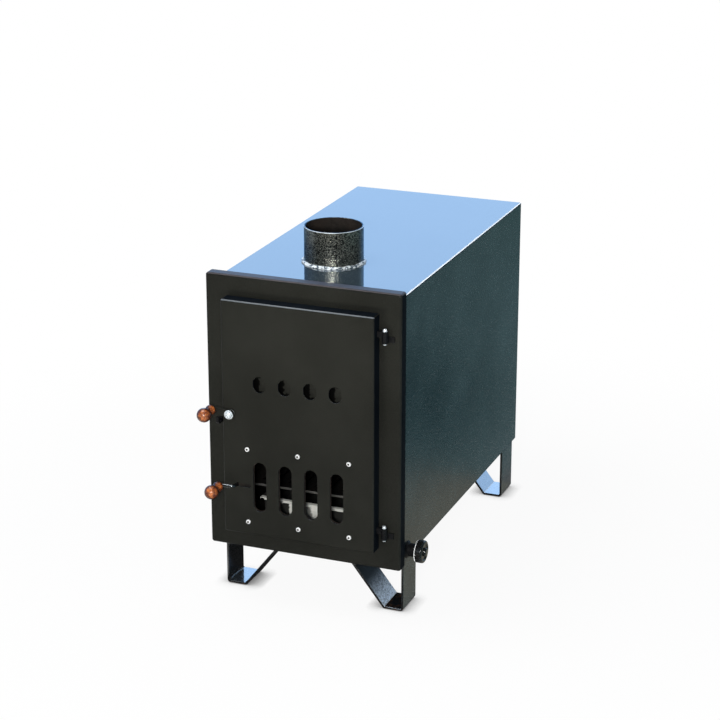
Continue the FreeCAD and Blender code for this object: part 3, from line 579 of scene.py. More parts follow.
def bright_metal(name, dark, light, smoothest, roughest, metallic):
    material, tree, shader = new_material(name)
    grain = use_group(tree, GRAIN, Broad=260.0, Fine=1500.0)
    colour_and_rough(tree, shader, grain["Mottle"], dark, light, grain["Grain"], smoothest, roughest)
    shader.inputs["Metallic"].default_value = metallic
    bump(tree, shader, grain["Grain"], 0.12, 0.1)
    return material


def varnished_wood():
    """Turned hardwood: streaks along the knob's axis, darker pores, a rim darkened as painted shade, and a
    clear varnish.
    """
    material, tree, shader = new_material("varnished_wood")
    streaks = noise_node(tree, 170.0, 5.0, 0.6)
    tree.links.new(place_node(tree, (1.0, 0.3, 1.0), (0.5, 0.0, 0.3)), streaks.inputs["Vector"])
    pores = noise_node(tree, 900.0, 3.0, 0.5)
    tree.links.new(place_node(tree, (1.0, 0.1, 1.0)), pores.inputs["Vector"])
    tone = range_node(tree, streaks.outputs["Fac"], *SPREAD, 0.0, 1.0)
    wood = mix_colours(tree, tone, (0.10, 0.014, 0.005), (0.66, 0.20, 0.050))
    pore_mask = range_node(tree, pores.outputs["Fac"], 0.58, 0.72, 0.0, 0.55)
    porous = mix_colours(tree, pore_mask, wood, (0.05, 0.009, 0.004))
    # Painted shade: the colour darkens towards the rim, where the ball turns away from view
    rim = tree.nodes.new("ShaderNodeLayerWeight")
    rim.inputs["Blend"].default_value = 0.5
    edge = range_node(tree, rim.outputs["Facing"], 0.10, 0.62, 0.0, 0.95)
    tree.links.new(mix_colours(tree, edge, porous, (0.035, 0.004, 0.002)), shader.inputs["Base Color"])
    tree.links.new(range_node(tree, streaks.outputs["Fac"], *SPREAD, 0.42, 0.3), shader.inputs["Roughness"])
    shader.inputs["Specular IOR Level"].default_value = 0.3
    shader.inputs["Coat Weight"].default_value = 0.8
    shader.inputs["Coat Roughness"].default_value = 0.3
    bump(tree, shader, streaks.outputs["Fac"], 0.12, 0.25)
    return material


def rope_weave():
    """Braided fibre rope: two diagonal sets of strands."""
    material, tree, shader = new_material("rope_weave")
    heights = []
    for turn in (0.9, -0.9):
        wave = tree.nodes.new("ShaderNodeTexWave")
        wave.inputs["Scale"].default_value = 95.0
        wave.inputs["Distortion"].default_value = 1.2
        tree.links.new(place_node(tree, (1, 1, 1), (0.0, turn, 0.0)), wave.inputs["Vector"])
        heights.append(wave.outputs["Fac"])
    weave = math_node(tree, "MAXIMUM", *heights)
    colour_and_rough(tree, shader, weave, (0.16, 0.15, 0.135), (0.50, 0.48, 0.43), weave, 0.95, 0.85)
    bump(tree, shader, weave, 0.7, 1.0)
    return material


# Upper holes of the door: middle of the row, spacing and height above the floor
PEEP_MIDDLE = -15.15 * MM
PEEP_PITCH = 53.3 * MM
PEEP_RISE = 474 * MM
# How far below a hole's middle the plate behind it shows in its middle
PEEP_SHIFT = -4 * MM
# Where the painted shadow ends, left of a hole's middle and above and below it, and how far that wanders
SHADOW_LEFT = (-8 * MM, -6.5 * MM)
SHADOW_REACH = (13.5 * MM, 15 * MM)
LINER_WANDER = 16 * MM


def shadowed_liner_paint():
    """Front paint with a ragged painted shadow round the left of what shows through the upper holes."""
    material, tree, shader = new_material("shadowed_liner_paint")
    grain = use_group(tree, GRAIN, Broad=160.0, Fine=600.0)
    axes = axes_node(tree)
    drift = math_node(tree, "MULTIPLY", math_node(tree, "SUBTRACT", grain["Mottle"], 0.5), LINER_WANDER)
    across = math_node(tree, "SUBTRACT", math_node(tree, "ADD", axes["X"], drift), PEEP_MIDDLE)
    phase = math_node(tree, "FRACT", math_node(tree, "DIVIDE", across, PEEP_PITCH))
    beside = math_node(tree, "MULTIPLY", math_node(tree, "SUBTRACT", phase, 0.5), PEEP_PITCH)
    left = range_node(tree, beside, *SHADOW_LEFT, 1.0, 0.0)
    rise = math_node(tree, "SUBTRACT", math_node(tree, "ADD", axes["Z"], drift), PEEP_RISE)
    above_and_below = range_node(tree, off_node(tree, rise, PEEP_SHIFT), *SHADOW_REACH, 0.0, 1.0)
    painted_shade = math_node(tree, "MAXIMUM", left, above_and_below)
    paint = mix_colours(tree, grain["Mottle"], (0.014, 0.014, 0.012), (0.032, 0.032, 0.027))
    # Near black where the door's skin would shade the liner behind the holes: a painted shadow
    tree.links.new(mix_colours(tree, painted_shade, paint, (0.0006, 0.0006, 0.0006)), shader.inputs["Base Color"])
    tree.links.new(range_node(tree, grain["Grain"], *SPREAD, 0.45, 0.6), shader.inputs["Roughness"])
    shader.inputs["Specular IOR Level"].default_value = 0.08
    bump(tree, shader, grain["Grain"], 0.3, 0.1)
    return material


def moulded(name, dark, light, smoothest, roughest):
    material, tree, shader = new_material(name)
    grain = use_group(tree, GRAIN, Broad=40.0, Fine=1100.0)
    colour_and_rough(tree, shader, grain["Mottle"], dark, light, grain["Grain"], smoothest, roughest)
    bump(tree, shader, grain["Grain"], 0.2, 0.15)
    return material


FRONT_PAINT = front_paint()
SHADED_FOLD_PAINT = shaded_fold_paint()
SIDE_PAINT = side_paint()
TOP_PAINT = top_paint()
SHEEN_BAND_PAINT = sheen_band_paint()
HIGHLIGHT_EDGE_PAINT = highlight_edge_paint()
LEG_PAINT = leg_paint()
SHEEN_FOOT_PAINT = sheen_foot_paint()
DUST_AND_SHEEN_PAINT = dust_and_sheen_paint()
SHADOWED_LINER_PAINT = shadowed_liner_paint()
FLUE_PAINT = hammered_paint()
GLINTING_WELD = weld_with_glints()
WELD_AND_SHADE_PAINT = weld_and_shade_paint()
# Sooty steel for the fire side, also used as painted shade in the rivets' hollows
SOOT_AND_SHADE = sooty_steel("sooty_steel", (0.010, 0.009, 0.008), (0.030, 0.023, 0.019))
FIRE_SOOT = sooty_steel("fire_soot", (0.0025, 0.0024, 0.0023), (0.008, 0.007, 0.006))
LIT_GRATE_IRON = lit_grate_iron()
GALVANISED = galvanised_sheet()
ZINC = bright_metal("bright_zinc", (0.70, 0.76, 0.80), (0.88, 0.94, 0.98), 0.2, 0.34, 0.35)
# Pale metal for a painted highlight along the top's side slants
GLINT_EDGE = bright_metal("glint_edge", (0.84, 0.87, 0.90), (0.95, 0.97, 0.99), 0.24, 0.36, 0.35)
ROD_STEEL = bright_metal("rod_steel", (0.11, 0.115, 0.12), (0.20, 0.21, 0.22), 0.16, 0.26, 1.0)
ALUMINIUM = bright_metal("rivet_aluminium", (0.86, 0.86, 0.86), (0.96, 0.96, 0.96), 0.22, 0.36, 0.25)
WOOD = varnished_wood()
ROPE = rope_weave()
FIBRE = moulded("fibre_washer", (0.66, 0.67, 0.68), (0.80, 0.81, 0.82), 0.4, 0.55)
CAP_PLASTIC = moulded("cap_plastic", (0.005, 0.005, 0.005), (0.010, 0.010, 0.010), 0.16, 0.26)


# Sheet and bar pieces that keep the solids' own shape

def top_plate():
    """The top, with its upper edges cut at a slant, the side slants painted pale as a highlight."""
    piece = merged_copy("top_plate")
    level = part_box("top_plate")[1].z
    slant = 1.9 * MM
    edit_where(piece, "FACE", lambda point, facing: facing.z > 0.99 and point.z > level - TINY)
    bpy.ops.transform.translate(value=(0, 0, -slant))
    bpy.ops.mesh.inset(thickness=slant, depth=slant)
    object_mode()
    round_off(piece, 0.3, 2, 30)
    finish_piece(piece, TOP_PAINT, "heater", "black_paint", "top_plate")
    # Its sides get painted shade, and the slants at its sides a painted highlight
    second_finish(piece, SHADED_FOLD_PAINT, sideways)
    second_finish(piece, GLINT_EDGE, lambda point, facing: abs(facing.x) > 0.4 and facing.z > 0.4)


def shell_pieces():
    side_edges = {"left_side_plate": 0.3, "right_side_plate": 0.3, "rear_plate": 0.3, "bottom_plate": 0.4,
                  "front_flange": 0.4}
    for node, edge in side_edges.items():
        finish_piece(rounded_copy(node, edge), SIDE_PAINT, "heater", "black_paint", node)
    # The keeper and the frame knuckles with their leaves are black: painted shade beside the latch and the
    # hinge barrel
    for node in ("latch_keeper", "hinge_upper_frame_knuckle", "hinge_lower_frame_knuckle"):
        finish_piece(rounded_copy(node), WELD_AND_SHADE_PAINT, "heater", "black_paint", node)
    finish_piece(rounded_copy("door_throat"), FRONT_PAINT, "heater", "black_paint", "door_throat")
    panel = finish_piece(rounded_copy("front_panel"), FRONT_PAINT, "heater", "black_paint", "front_panel")
    # The panel's sides get painted shade, and its upper fold a painted sheen
    second_finish(panel, SHADED_FOLD_PAINT, sideways)
    second_finish(panel, SHEEN_BAND_PAINT, lambda point, facing: facing.z > 0.6)


# Above this height the upward faces of a leg lie against the box
AGAINST_BOX = 100 * MM


def legs():
    """Bent bars with glossy feet and braces in a painted sky sheen, apart from the brace with dust and
    painted sheen and the foot in painted shade at the front right.
    """

    def against_box(point, facing):
        return facing.z > 0.3 and point.z > AGAINST_BOX

    def foot_and_brace(point, facing):
        return facing.z > 0.3 and abs(facing.y) < 0.1 and point.z < AGAINST_BOX

    def brace(point, facing):
        return 0.3 < facing.z < 0.9 and point.z < AGAINST_BOX

    def foot(point, facing):
        return facing.z > 0.9 and point.z < AGAINST_BOX

    for node in ("leg_front_left", "leg_front_right", "leg_rear_left", "leg_rear_right"):
        leg = finish_piece(rounded_copy(node, 0.8), LEG_PAINT, "heater", "black_paint", node)
        second_finish(leg, SHEEN_FOOT_PAINT, foot_and_brace)
        # The upward faces against the box get painted shade in the crease
        second_finish(leg, SHADED_FOLD_PAINT, against_box)
        # The outer faces of the right legs take the side paint and its painted reflection tint
        if node.endswith("right"):
            second_finish(leg, SIDE_PAINT, lambda point, facing: facing.x > 0.9)
        # At the front right the brace gets dust and painted sheen, and the foot painted shade
        if node == "leg_front_right":
            second_finish(leg, DUST_AND_SHEEN_PAINT, brace)
            second_finish(leg, SHADED_FOLD_PAINT, foot)


def door_pieces():
    skin = finish_piece(rounded_copy("door_skin", 1.4, 3), FRONT_PAINT, "door", "black_paint", "door_skin")
    # The door's sides and the flat of its upper fold get painted shade; the bend between gets a painted
    # highlight
    second_finish(skin, SHADED_FOLD_PAINT, sideways)
    second_finish(skin, HIGHLIGHT_EDGE_PAINT, lambda point, facing: 0.2 < facing.z < 0.9 and facing.y < 0)
    second_finish(skin, SHADED_FOLD_PAINT, lambda point, facing: facing.z > 0.9)
    liner = finish_piece(rounded_copy("door_liner"), FRONT_PAINT, "door", "black_paint", "door_liner")
    # The liner's front face carries the painted shadow behind the upper holes
    second_finish(liner, SHADOWED_LINER_PAINT, forward)
    finish_piece(rounded_copy("seal_retainer"), FRONT_PAINT, "door", "black_paint", "seal_retainer")
    # The door's knuckles are black: painted shade beside the hinge barrel
    for node in ("hinge_upper_door_knuckle", "hinge_lower_door_knuckle"):
        finish_piece(rounded_copy(node), WELD_AND_SHADE_PAINT, "door", "black_paint", node)
    for node in ("slide_guide_top", "slide_guide_bottom"):
        finish_piece(rounded_copy(node, 0.3), SOOT_AND_SHADE, "door", "fire_steel", node)
    finish_piece(rounded_copy("air_slide", 0.3), SOOT_AND_SHADE, "air_slide", "fire_steel", "air_slide")
    finish_piece(rounded_copy("latch_lever", 0.8), FRONT_PAINT, "latch", "black_paint", "latch_lever")
    finish_piece(rounded_copy("latch_stud", 0.4), ZINC, "latch", "zinc", "latch_stud")
    for node in ("latch_washers", "latch_nut"):
        finish_piece(rounded_copy(node, 0.3), ZINC, "door", "zinc", node)
    finish_piece(rounded_copy("air_rod", 0.4), ROD_STEEL, "air_slide", "zinc", "air_rod")
    for node in ("hinge_upper_pin", "hinge_lower_pin"):
        finish_piece(rounded_copy(node, 1.4, 4, 25), ZINC, "heater", "zinc", node)


def fire_pieces():
    for node in ("firebox_floor", "firebox_left", "firebox_right", "firebox_rear", "firebox_roof",
                 "smoke_baffle", "baffle_ledge_left", "baffle_ledge_right", "grate_rail_left",
                 "grate_rail_right"):
        finish_piece(rounded_copy(node), FIRE_SOOT, "heater", "fire_steel", node)
    grate = finish_piece(rounded_copy("grate", 0.8), FIRE_SOOT, "heater", "cast_iron", "grate")
    # The grate's front faces are paler than its sooty rest: a painted highlight line
    second_finish(grate, LIT_GRATE_IRON, forward)
    finish_piece(rounded_copy("ash_pan", 0.3), GALVANISED, "heater", "galvanised", "ash_pan")
    stays = nodes["jacket_stays"].data
    stays.materials.clear()
    stays.materials.append(SOOT_AND_SHADE)


# Turned, formed and welded pieces

# How far apart the points along a weld are, and how uneven it is for its thickness
WELD_STEP = 1.2 * MM
WELD_UNEVEN = 0.55


def weld_bead(name, centre, turn, ring, thick, material):
    """A run of weld round a pipe, uneven as laid by hand."""
    bpy.ops.mesh.primitive_torus_add(major_segments=int(ring / WELD_STEP), minor_segments=8,
                                     major_radius=ring, minor_radius=thick, location=centre, rotation=turn)
    bead = settle(bpy.context.object, name)
    edit_all(bead)
    bpy.ops.transform.vertex_random(offset=WELD_UNEVEN * thick, uniform=0.0, normal=1.0, seed=4)
    object_mode()
    subdivide_smooth(bead)
    return finish_piece(bead, material, "heater", "black_paint")


def flue():
    low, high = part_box("flue_collar")
    centre = middle("flue_collar")
    radius, wall, bead = 60 * MM, 3 * MM, 4 * MM
    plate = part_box("top_plate")[1].z
    bpy.ops.mesh.primitive_cylinder_add(vertices=128, radius=radius, depth=high.z - low.z,
                                        end_fill_type="NOTHING", location=centre)
    tube = settle(bpy.context.object, "flue_tube")
    modifier = tube.modifiers.new("Wall", "SOLIDIFY")
    modifier.thickness = wall
    modifier.offset = -1
    apply_modifiers(tube)
    round_off(tube, 1.0, 3)
    finish_piece(tube, FLUE_PAINT, "heater", "hammered_black", "flue_collar")

    def outer(point, facing):
        return facing.x * (point.x - centre.x) + facing.y * (point.y - centre.y) > 0

    def inside(point, facing):
        return abs(facing.z) < 0.5 and not outer(point, facing)

    def lit_lip(point, facing):
        return 0.2 < facing.z < 0.9 and outer(point, facing)

    second_finish(tube, SOOT_AND_SHADE, inside)
    # The outer slant of the rim is painted bright zinc: a painted highlight line
    second_finish(tube, ZINC, lit_lip)
    foot = (centre.x, centre.y, plate + 0.3 * bead)
    weld_bead("flue_weld", foot, (0, 0, 0), radius + bead / 2, bead, GLINTING_WELD)


def stubs():
    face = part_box("rear_plate")[1].y
    ring, bead, lift = 32.2 * MM, 2.6 * MM, 1.0 * MM
    for end in ("inlet", "outlet"):
        node = f"water_{end}"
        finish_piece(rounded_copy(node, 0.6), LEG_PAINT, "heater", "black_paint", node)
        spot = middle(node)
        foot = (spot.x, face + lift, spot.z)
        weld_bead(f"{node}_weld", foot, (QUARTER, 0, 0), ring, bead, WELD_AND_SHADE_PAINT)


# Where the ball of a knob ends, as a share of its radius
BALL_END = 0.86
# Knob outline behind the ball: how far on, and how wide there
KNOB_TURNING = ((2.7, 7.1), (4.5, 7.5), (4.5, 9.4), (3.0, 10.7), (3.0, 10.9), (2.5, 10.3), (1.0, 9.0))


def knob(node, body):
    """A turned ball with its neck and collar, pointing to the front."""
    low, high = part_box(node)
    ball = (high.x - low.x) / 2
    centre = middle(node)
    centre.y = low.y + ball
    bpy.ops.mesh.primitive_uv_sphere_add(segments=40, ring_count=26, radius=ball, location=centre,
                                         rotation=(QUARTER, 0, 0))
    piece = settle(bpy.context.object, f"{node}_turned")
    edit_where(piece, "FACE", lambda point, facing: point.y > centre.y + BALL_END * ball)
    bpy.ops.mesh.delete(type="FACE")
    object_mode()
    rim = max(vertex.co.y for vertex in piece.data.vertices)
    edit_where(piece, "EDGE", lambda first, last: min(first.y, last.y) > rim - TINY)
    width = math.sqrt(ball ** 2 - (rim - centre.y) ** 2)
    for step, radius in KNOB_TURNING:
        extrude(y=step * MM)
        grow = radius * MM / width
        bpy.ops.transform.resize(value=(grow, 1, grow), center_override=centre)
        width = radius * MM
    bpy.ops.mesh.edge_face_add()
    bpy.ops.mesh.inset(thickness=2.0 * MM)
    object_mode()
    outward(piece)
    subdivide_smooth(piece)
    finish_piece(piece, WOOD, body, "varnished_wood", node)


def domed_head(name, radius, crown, dome, socket, depth):
    """A round fastener head on the XZ plane, domed to the front, with a hollow in its middle."""
    bpy.ops.mesh.primitive_cylinder_add(vertices=24, radius=radius, depth=crown, location=(0, -crown / 2, 0),
                                        rotation=(QUARTER, 0, 0))
    head = settle(bpy.context.object, name)
    edit_where(head, "EDGE", lambda first, last: max(first.y, last.y) < TINY - crown)
    bpy.ops.mesh.bevel(offset=dome, segments=4, affect="EDGES")
    object_mode()
    edit_where(head, "FACE", lambda point, facing: facing.y < -0.99 and point.y < TINY - crown)
    bpy.ops.mesh.inset(thickness=radius - dome - socket)
    extrude(y=depth)
    object_mode()
    smooth(head)
    return head


def rivets():
    low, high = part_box("guide_rivets")
    radius, crown = 4.8 * MM, 2.2 * MM
    socket = 2.1 * MM
    head = domed_head("rivet_head", radius, crown, dome=1.7 * MM, socket=socket, depth=1.6 * MM)
    tail = domed_head("rivet_tail", 3.6 * MM, crown, dome=1.2 * MM, socket=1.0 * MM, depth=0.6 * MM)
    edit_all(tail)
    bpy.ops.transform.resize(value=(1, -1, 1), center_override=(0, 0, 0))
    object_mode()
    outward(tail)
    face, guide = low.y + crown, high.y - crown
    columns = (low.x + radius, (low.x + high.x) / 2, high.x - radius)
    spots = [(x, z) for x in columns for z in (low.z + radius, high.z - radius)]
    pieces = []
    for x, z in spots:
        pieces.append(twin(head, "rivet", (x, face, z)))
        pieces.append(twin(tail, "rivet", (x, guide, z)))
    for pattern in (head, tail):
        bpy.data.objects.remove(pattern)
    piece = join(pieces, "pop_rivets")
    finish_piece(piece, ALUMINIUM, "door", "rivet_aluminium", "guide_rivets")

    def shaded_socket(point, facing):
        nearest = min(math.hypot(point.x - x, point.z - z) for x, z in spots)
        return nearest < socket and point.y < face

    # The hollows of the rivets are painted dark as shade
    second_finish(piece, SOOT_AND_SHADE, shaded_socket)


def latch_bolt():
    low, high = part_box("latch_bolt")
    centre = middle("latch_bolt")
    radius, crown = 8.0 * MM, 5.5 * MM
    head = domed_head("bolt_head", radius, crown, dome=4.2 * MM, socket=2.2 * MM, depth=2.4 * MM)
    seat = low.y + crown
    bpy.ops.mesh.primitive_cylinder_add(vertices=24, radius=5 * MM, depth=high.y - seat,
                                        rotation=(QUARTER, 0, 0), location=(0, (high.y - seat) / 2, 0))
    shank = settle(bpy.context.object, "bolt_shank")
    round_off(shank, 0.6)
    bolt = join([head, shank], "domed_bolt")
    bolt.location = (centre.x, seat, centre.z)
    settle(bolt, "domed_bolt")
    finish_piece(bolt, ZINC, "door", "zinc", "latch_bolt")


def drain():
    finish_piece(rounded_copy("drain_nipple", 0.5), WELD_AND_SHADE_PAINT, "heater", "black_paint", "drain_nipple")
    finish_piece(rounded_copy("drain_gasket", 0.4), FIBRE, "gasket", "gasket_rubber", "drain_gasket")
    spot = middle("drain_nipple")
    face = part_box("right_side_plate")[1].x
    ring, bead, lift = 14.6 * MM, 3.2 * MM, 0.6 * MM
    foot = (face + lift, spot.y, spot.z)
    weld_bead("drain_weld", foot, (0, QUARTER, 0), ring, bead, WELD_AND_SHADE_PAINT)


def screw_cap():
    """A black screw cap: fluted rim, dished face, raised middle, and a hollow for the nipple."""
    low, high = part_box("drain_cap")
    centre = middle("drain_cap")
    radius, boss, rise = (high.z - low.z) / 2, 9 * MM, 4 * MM
    rim_round, land = 3.4 * MM, 1.6 * MM
    dish, dish_taper, boss_taper = 2.4 * MM, 0.86, 0.9
    bore, recess = 13.75 * MM, 8 * MM
    flutes, flute_depth = 24, 0.8 * MM
    face = high.x - rise
    bpy.ops.mesh.primitive_cylinder_add(vertices=96, radius=radius, depth=face - low.x,
                                        rotation=(0, QUARTER, 0),
                                        location=((low.x + face) / 2, centre.y, centre.z))
    cap = settle(bpy.context.object, "screw_cap")
    edit_where(cap, "EDGE", lambda first, last: min(first.x, last.x) > face - TINY)
    bpy.ops.mesh.bevel(offset=rim_round, segments=4, affect="EDGES")
    object_mode()
    edit_where(cap, "FACE", lambda point, facing: facing.x > 0.99 and point.x > face - TINY)
    bpy.ops.mesh.inset(thickness=land)
    extrude(x=-dish)
    bpy.ops.transform.resize(value=(1, dish_taper, dish_taper), center_override=centre)
    bpy.ops.mesh.inset(thickness=dish_taper * (radius - rim_round - land) - boss)
    extrude(x=dish + rise)
    bpy.ops.transform.resize(value=(1, boss_taper, boss_taper), center_override=centre)
    bpy.ops.mesh.bevel(offset=1.2 * MM, segments=3, affect="EDGES")
    object_mode()
    edit_where(cap, "FACE", lambda point, facing: facing.x < -0.99 and point.x < low.x + TINY)
    bpy.ops.mesh.inset(thickness=radius - bore)
    extrude(x=recess)
    object_mode()

    def flute(point, facing):
        turn = math.atan2(point.z - centre.z, point.y - centre.y)
        outer = facing.dot(point - centre) > 0 and point.x < face
        return outer and abs(facing.x) < 0.01 and math.cos(flutes * turn) > 0

    edit_where(cap, "FACE", flute)
    bpy.ops.mesh.inset(thickness=0.3 * MM, depth=-flute_depth)
    object_mode()
    smooth(cap)
    finish_piece(cap, CAP_PLASTIC, "cap", "cap_plastic", "drain_cap")


def rope_seal():
    """A round rope laid in the rim of the door, along a rectangle with rounded corners."""
    low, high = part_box("door_seal")
    centre = middle("door_seal")
    half, corner = 4.1 * MM, 12 * MM
    bpy.ops.mesh.primitive_plane_add(size=1, location=centre, rotation=(QUARTER, 0, 0))
    rope = bpy.context.object
    rope.scale = (high.x - low.x - 2 * half, high.z - low.z - 2 * half, 1)
    settle(rope, "rope_seal")
    edit_all(rope)
    bpy.ops.mesh.delete(type="ONLY_FACE")
    bpy.ops.mesh.select_all(action="SELECT")
    bpy.ops.mesh.bevel(offset=corner, segments=6, affect="VERTICES")
    object_mode()
    bpy.ops.object.convert(target="CURVE")
    rope.data.bevel_depth = half
    rope.data.bevel_resolution = 4
    bpy.ops.object.convert(target="MESH")
    outward(rope)
    smooth(rope)
    finish_piece(rope, ROPE, "door", "seal_rope", "door_seal")


top_plate()
shell_pieces()
legs()
door_pieces()
fire_pieces()
flue()
stubs()
knob("latch_knob", "latch")
knob("air_knob", "air_slide")
rivets()
latch_bolt()
drain()
screw_cap()
rope_seal()


# Camera, light and floor

# The camera's place, how far it looks down and to the left, and its lens
VIEW_PLACE = (1.5484, -4.0417, 1.9156)
VIEW_DOWN = 0.33509
VIEW_LEFT = 0.3747
VIEW_LENS = 108.87
VIEW_SENSOR = 36


def camera():
    bpy.ops.object.camera_add(location=VIEW_PLACE, rotation=(QUARTER - VIEW_DOWN, 0, VIEW_LEFT))
    view = bpy.context.object
    view.data.lens = VIEW_LENS
    view.data.sensor_width = VIEW_SENSOR
    bpy.context.scene.camera = view


def lamp(name, place, aim, size, power, colour):
    bpy.ops.object.light_add(type="AREA", location=place)
    light = bpy.context.object
    light.name = name
    light.data.shape = "RECTANGLE"
    light.data.size, light.data.size_y = size
    light.data.energy = power
    light.data.color = colour
    light.rotation_euler = (Vector(aim) - Vector(place)).to_track_quat("-Z", "Y").to_euler()


# Where the floor turns to plain white, how white it is nearer the heater, and how far feet shade it
SHADOW_END = (0.5, 1.5)
NEAR_WHITE = 0.93
FOOT_SHADE = 30 * MM


def floor():
    """A pale floor: white far from the heater, with its shadow near it and shade under its feet."""
    bpy.ops.mesh.primitive_plane_add(size=60)
    ground = bpy.context.object
    ground.name = "studio_floor"
    material, tree, shader = new_material("pale_floor")
    grain = use_group(tree, GRAIN, Broad=1.5, Fine=40.0)
    tree.links.new(mix_colours(tree, grain["Mottle"], (0.90, 0.90, 0.90), (0.93, 0.93, 0.93)),
                   shader.inputs["Base Color"])
    shader.inputs["Roughness"].default_value = 0.9
    shader.inputs["Specular IOR Level"].default_value = 0.1
    white = tree.nodes.new("ShaderNodeEmission")
    contact = tree.nodes.new("ShaderNodeAmbientOcclusion")
    contact.samples = 4
    contact.inputs["Distance"].default_value = FOOT_SHADE
    tree.links.new(contact.outputs["Color"], white.inputs["Color"])
    reach = tree.nodes.new("ShaderNodeVectorMath")
    reach.operation = "LENGTH"
    tree.links.new(place_node(tree), reach.inputs[0])
    share = range_node(tree, reach.outputs["Value"], *SHADOW_END, NEAR_WHITE, 1.0)
    path = tree.nodes.new("ShaderNodeLightPath")
    mix = tree.nodes.new("ShaderNodeMixShader")
    tree.links.new(math_node(tree, "MULTIPLY", share, path.outputs["Is Camera Ray"]), mix.inputs["Fac"])
    tree.links.new(shader.outputs[0], mix.inputs[1])
    tree.links.new(white.outputs[0], mix.inputs[2])
    tree.links.new(mix.outputs[0], tree.nodes["Material Output"].inputs["Surface"])
    ground.data.materials.append(material)


def card(name, place, turn, size, stops, strength, spot=(0, 0)):
    """A sheet that shows only in reflections, shaded outwards from a spot on it."""
    bpy.ops.mesh.primitive_plane_add(size=1, location=place, rotation=turn)
    sheet = bpy.context.object
    sheet.scale = (*size, 1)
    bpy.ops.object.transform_apply(location=False, rotation=False, scale=True)
    sheet.name = name
    material, tree, shader = new_material(name)
    away = tree.nodes.new("ShaderNodeVectorMath")
    away.operation = "DISTANCE"
    away.inputs[1].default_value = (*spot, 0)
    tree.links.new(place_node(tree), away.inputs[0])
    farthest = stops[-1][0]
    ramp = tree.nodes.new("ShaderNodeValToRGB")
    ramp.color_ramp.interpolation = "EASE"
    while len(ramp.color_ramp.elements) < len(stops):
        ramp.color_ramp.elements.new(0.5)
    for element, (reach, colour) in zip(ramp.color_ramp.elements, stops):
        element.position = reach / farthest
        element.color = (*colour, 1)
    tree.links.new(math_node(tree, "DIVIDE", away.outputs["Value"], farthest), ramp.inputs["Fac"])
    tree.links.new(ramp.outputs["Color"], shader.inputs["Emission Color"])
    shader.inputs["Base Color"].default_value = (0, 0, 0, 1)
    shader.inputs["Specular IOR Level"].default_value = 0
    shader.inputs["Emission Strength"].default_value = strength
    sheet.data.materials.append(material)
    for ray in ("camera", "diffuse", "transmission", "volume_scatter", "shadow"):
        setattr(sheet, f"visible_{ray}", False)


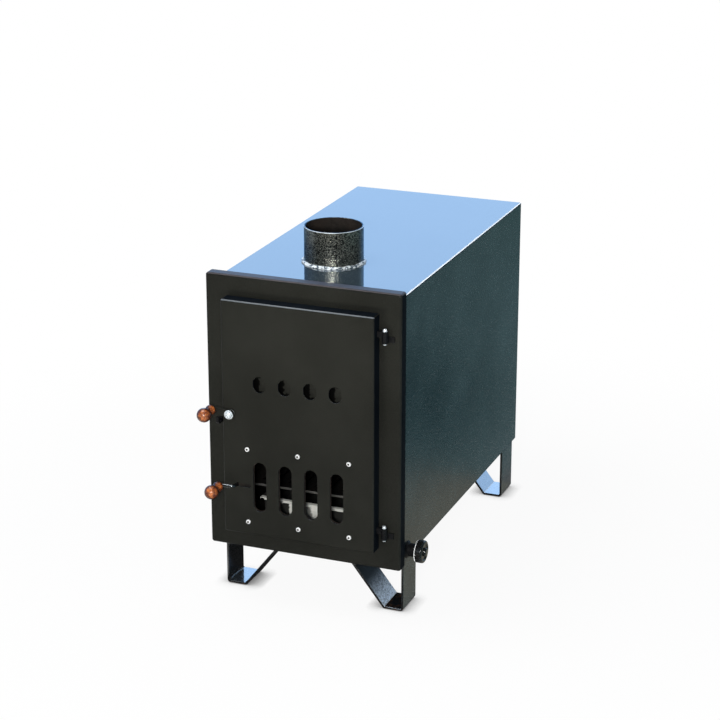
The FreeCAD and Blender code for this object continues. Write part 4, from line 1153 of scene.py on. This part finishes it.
def reflected_surroundings():
    """What the paint mirrors: blue sky behind and left, haze in front, ground in front, right and below."""
    upright, flat = (QUARTER, 0, 0), (0, 0, 0)
    blue = ((0.0, (0.40, 0.64, 1.0)), (3.0, (0.42, 0.65, 1.0)))
    white = ((0.0, (1, 1, 1)), (0.5, (0.9, 0.95, 1.0)), (1.05, (0.3, 0.45, 0.6)))
    haze = ((0.0, (0.9, 0.95, 1.0)), (1.0, (0.5, 0.6, 0.7)), (3.0, (0.10, 0.16, 0.20)))
    grey = ((0.0, (0.36, 0.36, 0.32)), (3.0, (0.32, 0.32, 0.29)))
    teal = ((0.0, (0.0, 0.03, 0.04)), (0.70, (0.0, 0.05, 0.07)), (0.77, (0.06, 0.17, 0.20)),
            (0.84, (0.22, 0.39, 0.43)), (0.95, (0.25, 0.42, 0.45)), (1.1, (0.19, 0.34, 0.38)),
            (1.6, (0.18, 0.33, 0.36)), (2.4, (0.12, 0.27, 0.27)))
    near_grey = ((0.0, (0.46, 0.45, 0.37)), (0.4, (0.46, 0.47, 0.41)))
    olive = ((0.0, (1.0, 0.98, 0.72)), (0.5, (0.9, 0.9, 0.7)))
    left_blue = ((0.0, (0.16, 0.34, 0.66)), (3.0, (0.20, 0.38, 0.70)))
    black = ((0.0, (0.012, 0.012, 0.012)), (0.5, (0.02, 0.02, 0.02)))
    card("sky_card", (-1.7, 4.2, 2.4), upright, (5.4, 3.6), blue, 2.38)
    card("bright_card", (1.7, 4.1, 2.15), upright, (1.6, 1.3), white, 2.2)
    card("low_sky_card", (2.35, 4.2, 0.92), upright, (1.8, 0.8), blue, 1.9)
    card("front_sky_card", (0.6, -4.8, 2.3), upright, (6.0, 2.8), haze, 1.3)
    card("glint_card", (-0.62, -2.1, 0.0014), flat, (0.45, 0.9), olive, 6.0)
    card("left_card", (-3.6, 0.8, 1.5), (QUARTER, 0, QUARTER), (6.0, 3.0), left_blue, 1.0)
    card("front_ground", (1.35, -2.6, 0.001), flat, (5.3, 4.3), grey, 1.0)
    card("right_ground", (2.4, 1.5, 0.0012), flat, (4.35, 7.0), teal, 1.0, spot=(-1.2, -0.8))
    card("near_ground", (0.30, 0.02, 0.0016), flat, (0.23, 0.76), near_grey, 1.0)
    card("shaded_ground", (-0.02, 0, 0.002), flat, (0.40, 0.95), black, 1.0)


def backdrop():
    """White to the eye, and duller to mirrors and as a light."""
    world = bpy.data.worlds.new("studio")
    bpy.context.scene.world = world
    world.use_nodes = True
    tree = world.node_tree
    path = tree.nodes.new("ShaderNodeLightPath")
    seen = math_node(tree, "MAXIMUM", path.outputs["Is Camera Ray"], path.outputs["Is Transmission Ray"])
    back = tree.nodes["Background"]
    mirrored = mix_colours(tree, path.outputs["Is Glossy Ray"], (0.30, 0.32, 0.34), (0.07, 0.13, 0.16))
    tree.links.new(mix_colours(tree, seen, mirrored, (1.0, 1.0, 1.0)), back.inputs["Color"])


def studio():
    floor()
    reflected_surroundings()
    backdrop()
    lamp("front_softbox", (1.08, -3.75, 1.55), aim=(0, -0.2, 0.35), size=(0.45, 0.45), power=90,
         colour=(1.0, 0.985, 0.95))
    lamp("overhead_softbox", (-0.9, -0.6, 3.1), aim=(-0.1, -0.1, 0.3), size=(1.5, 1.5), power=44,
         colour=(1.0, 1.0, 1.0))


camera()
studio()
bpy.context.scene.view_settings.view_transform = "Standard"
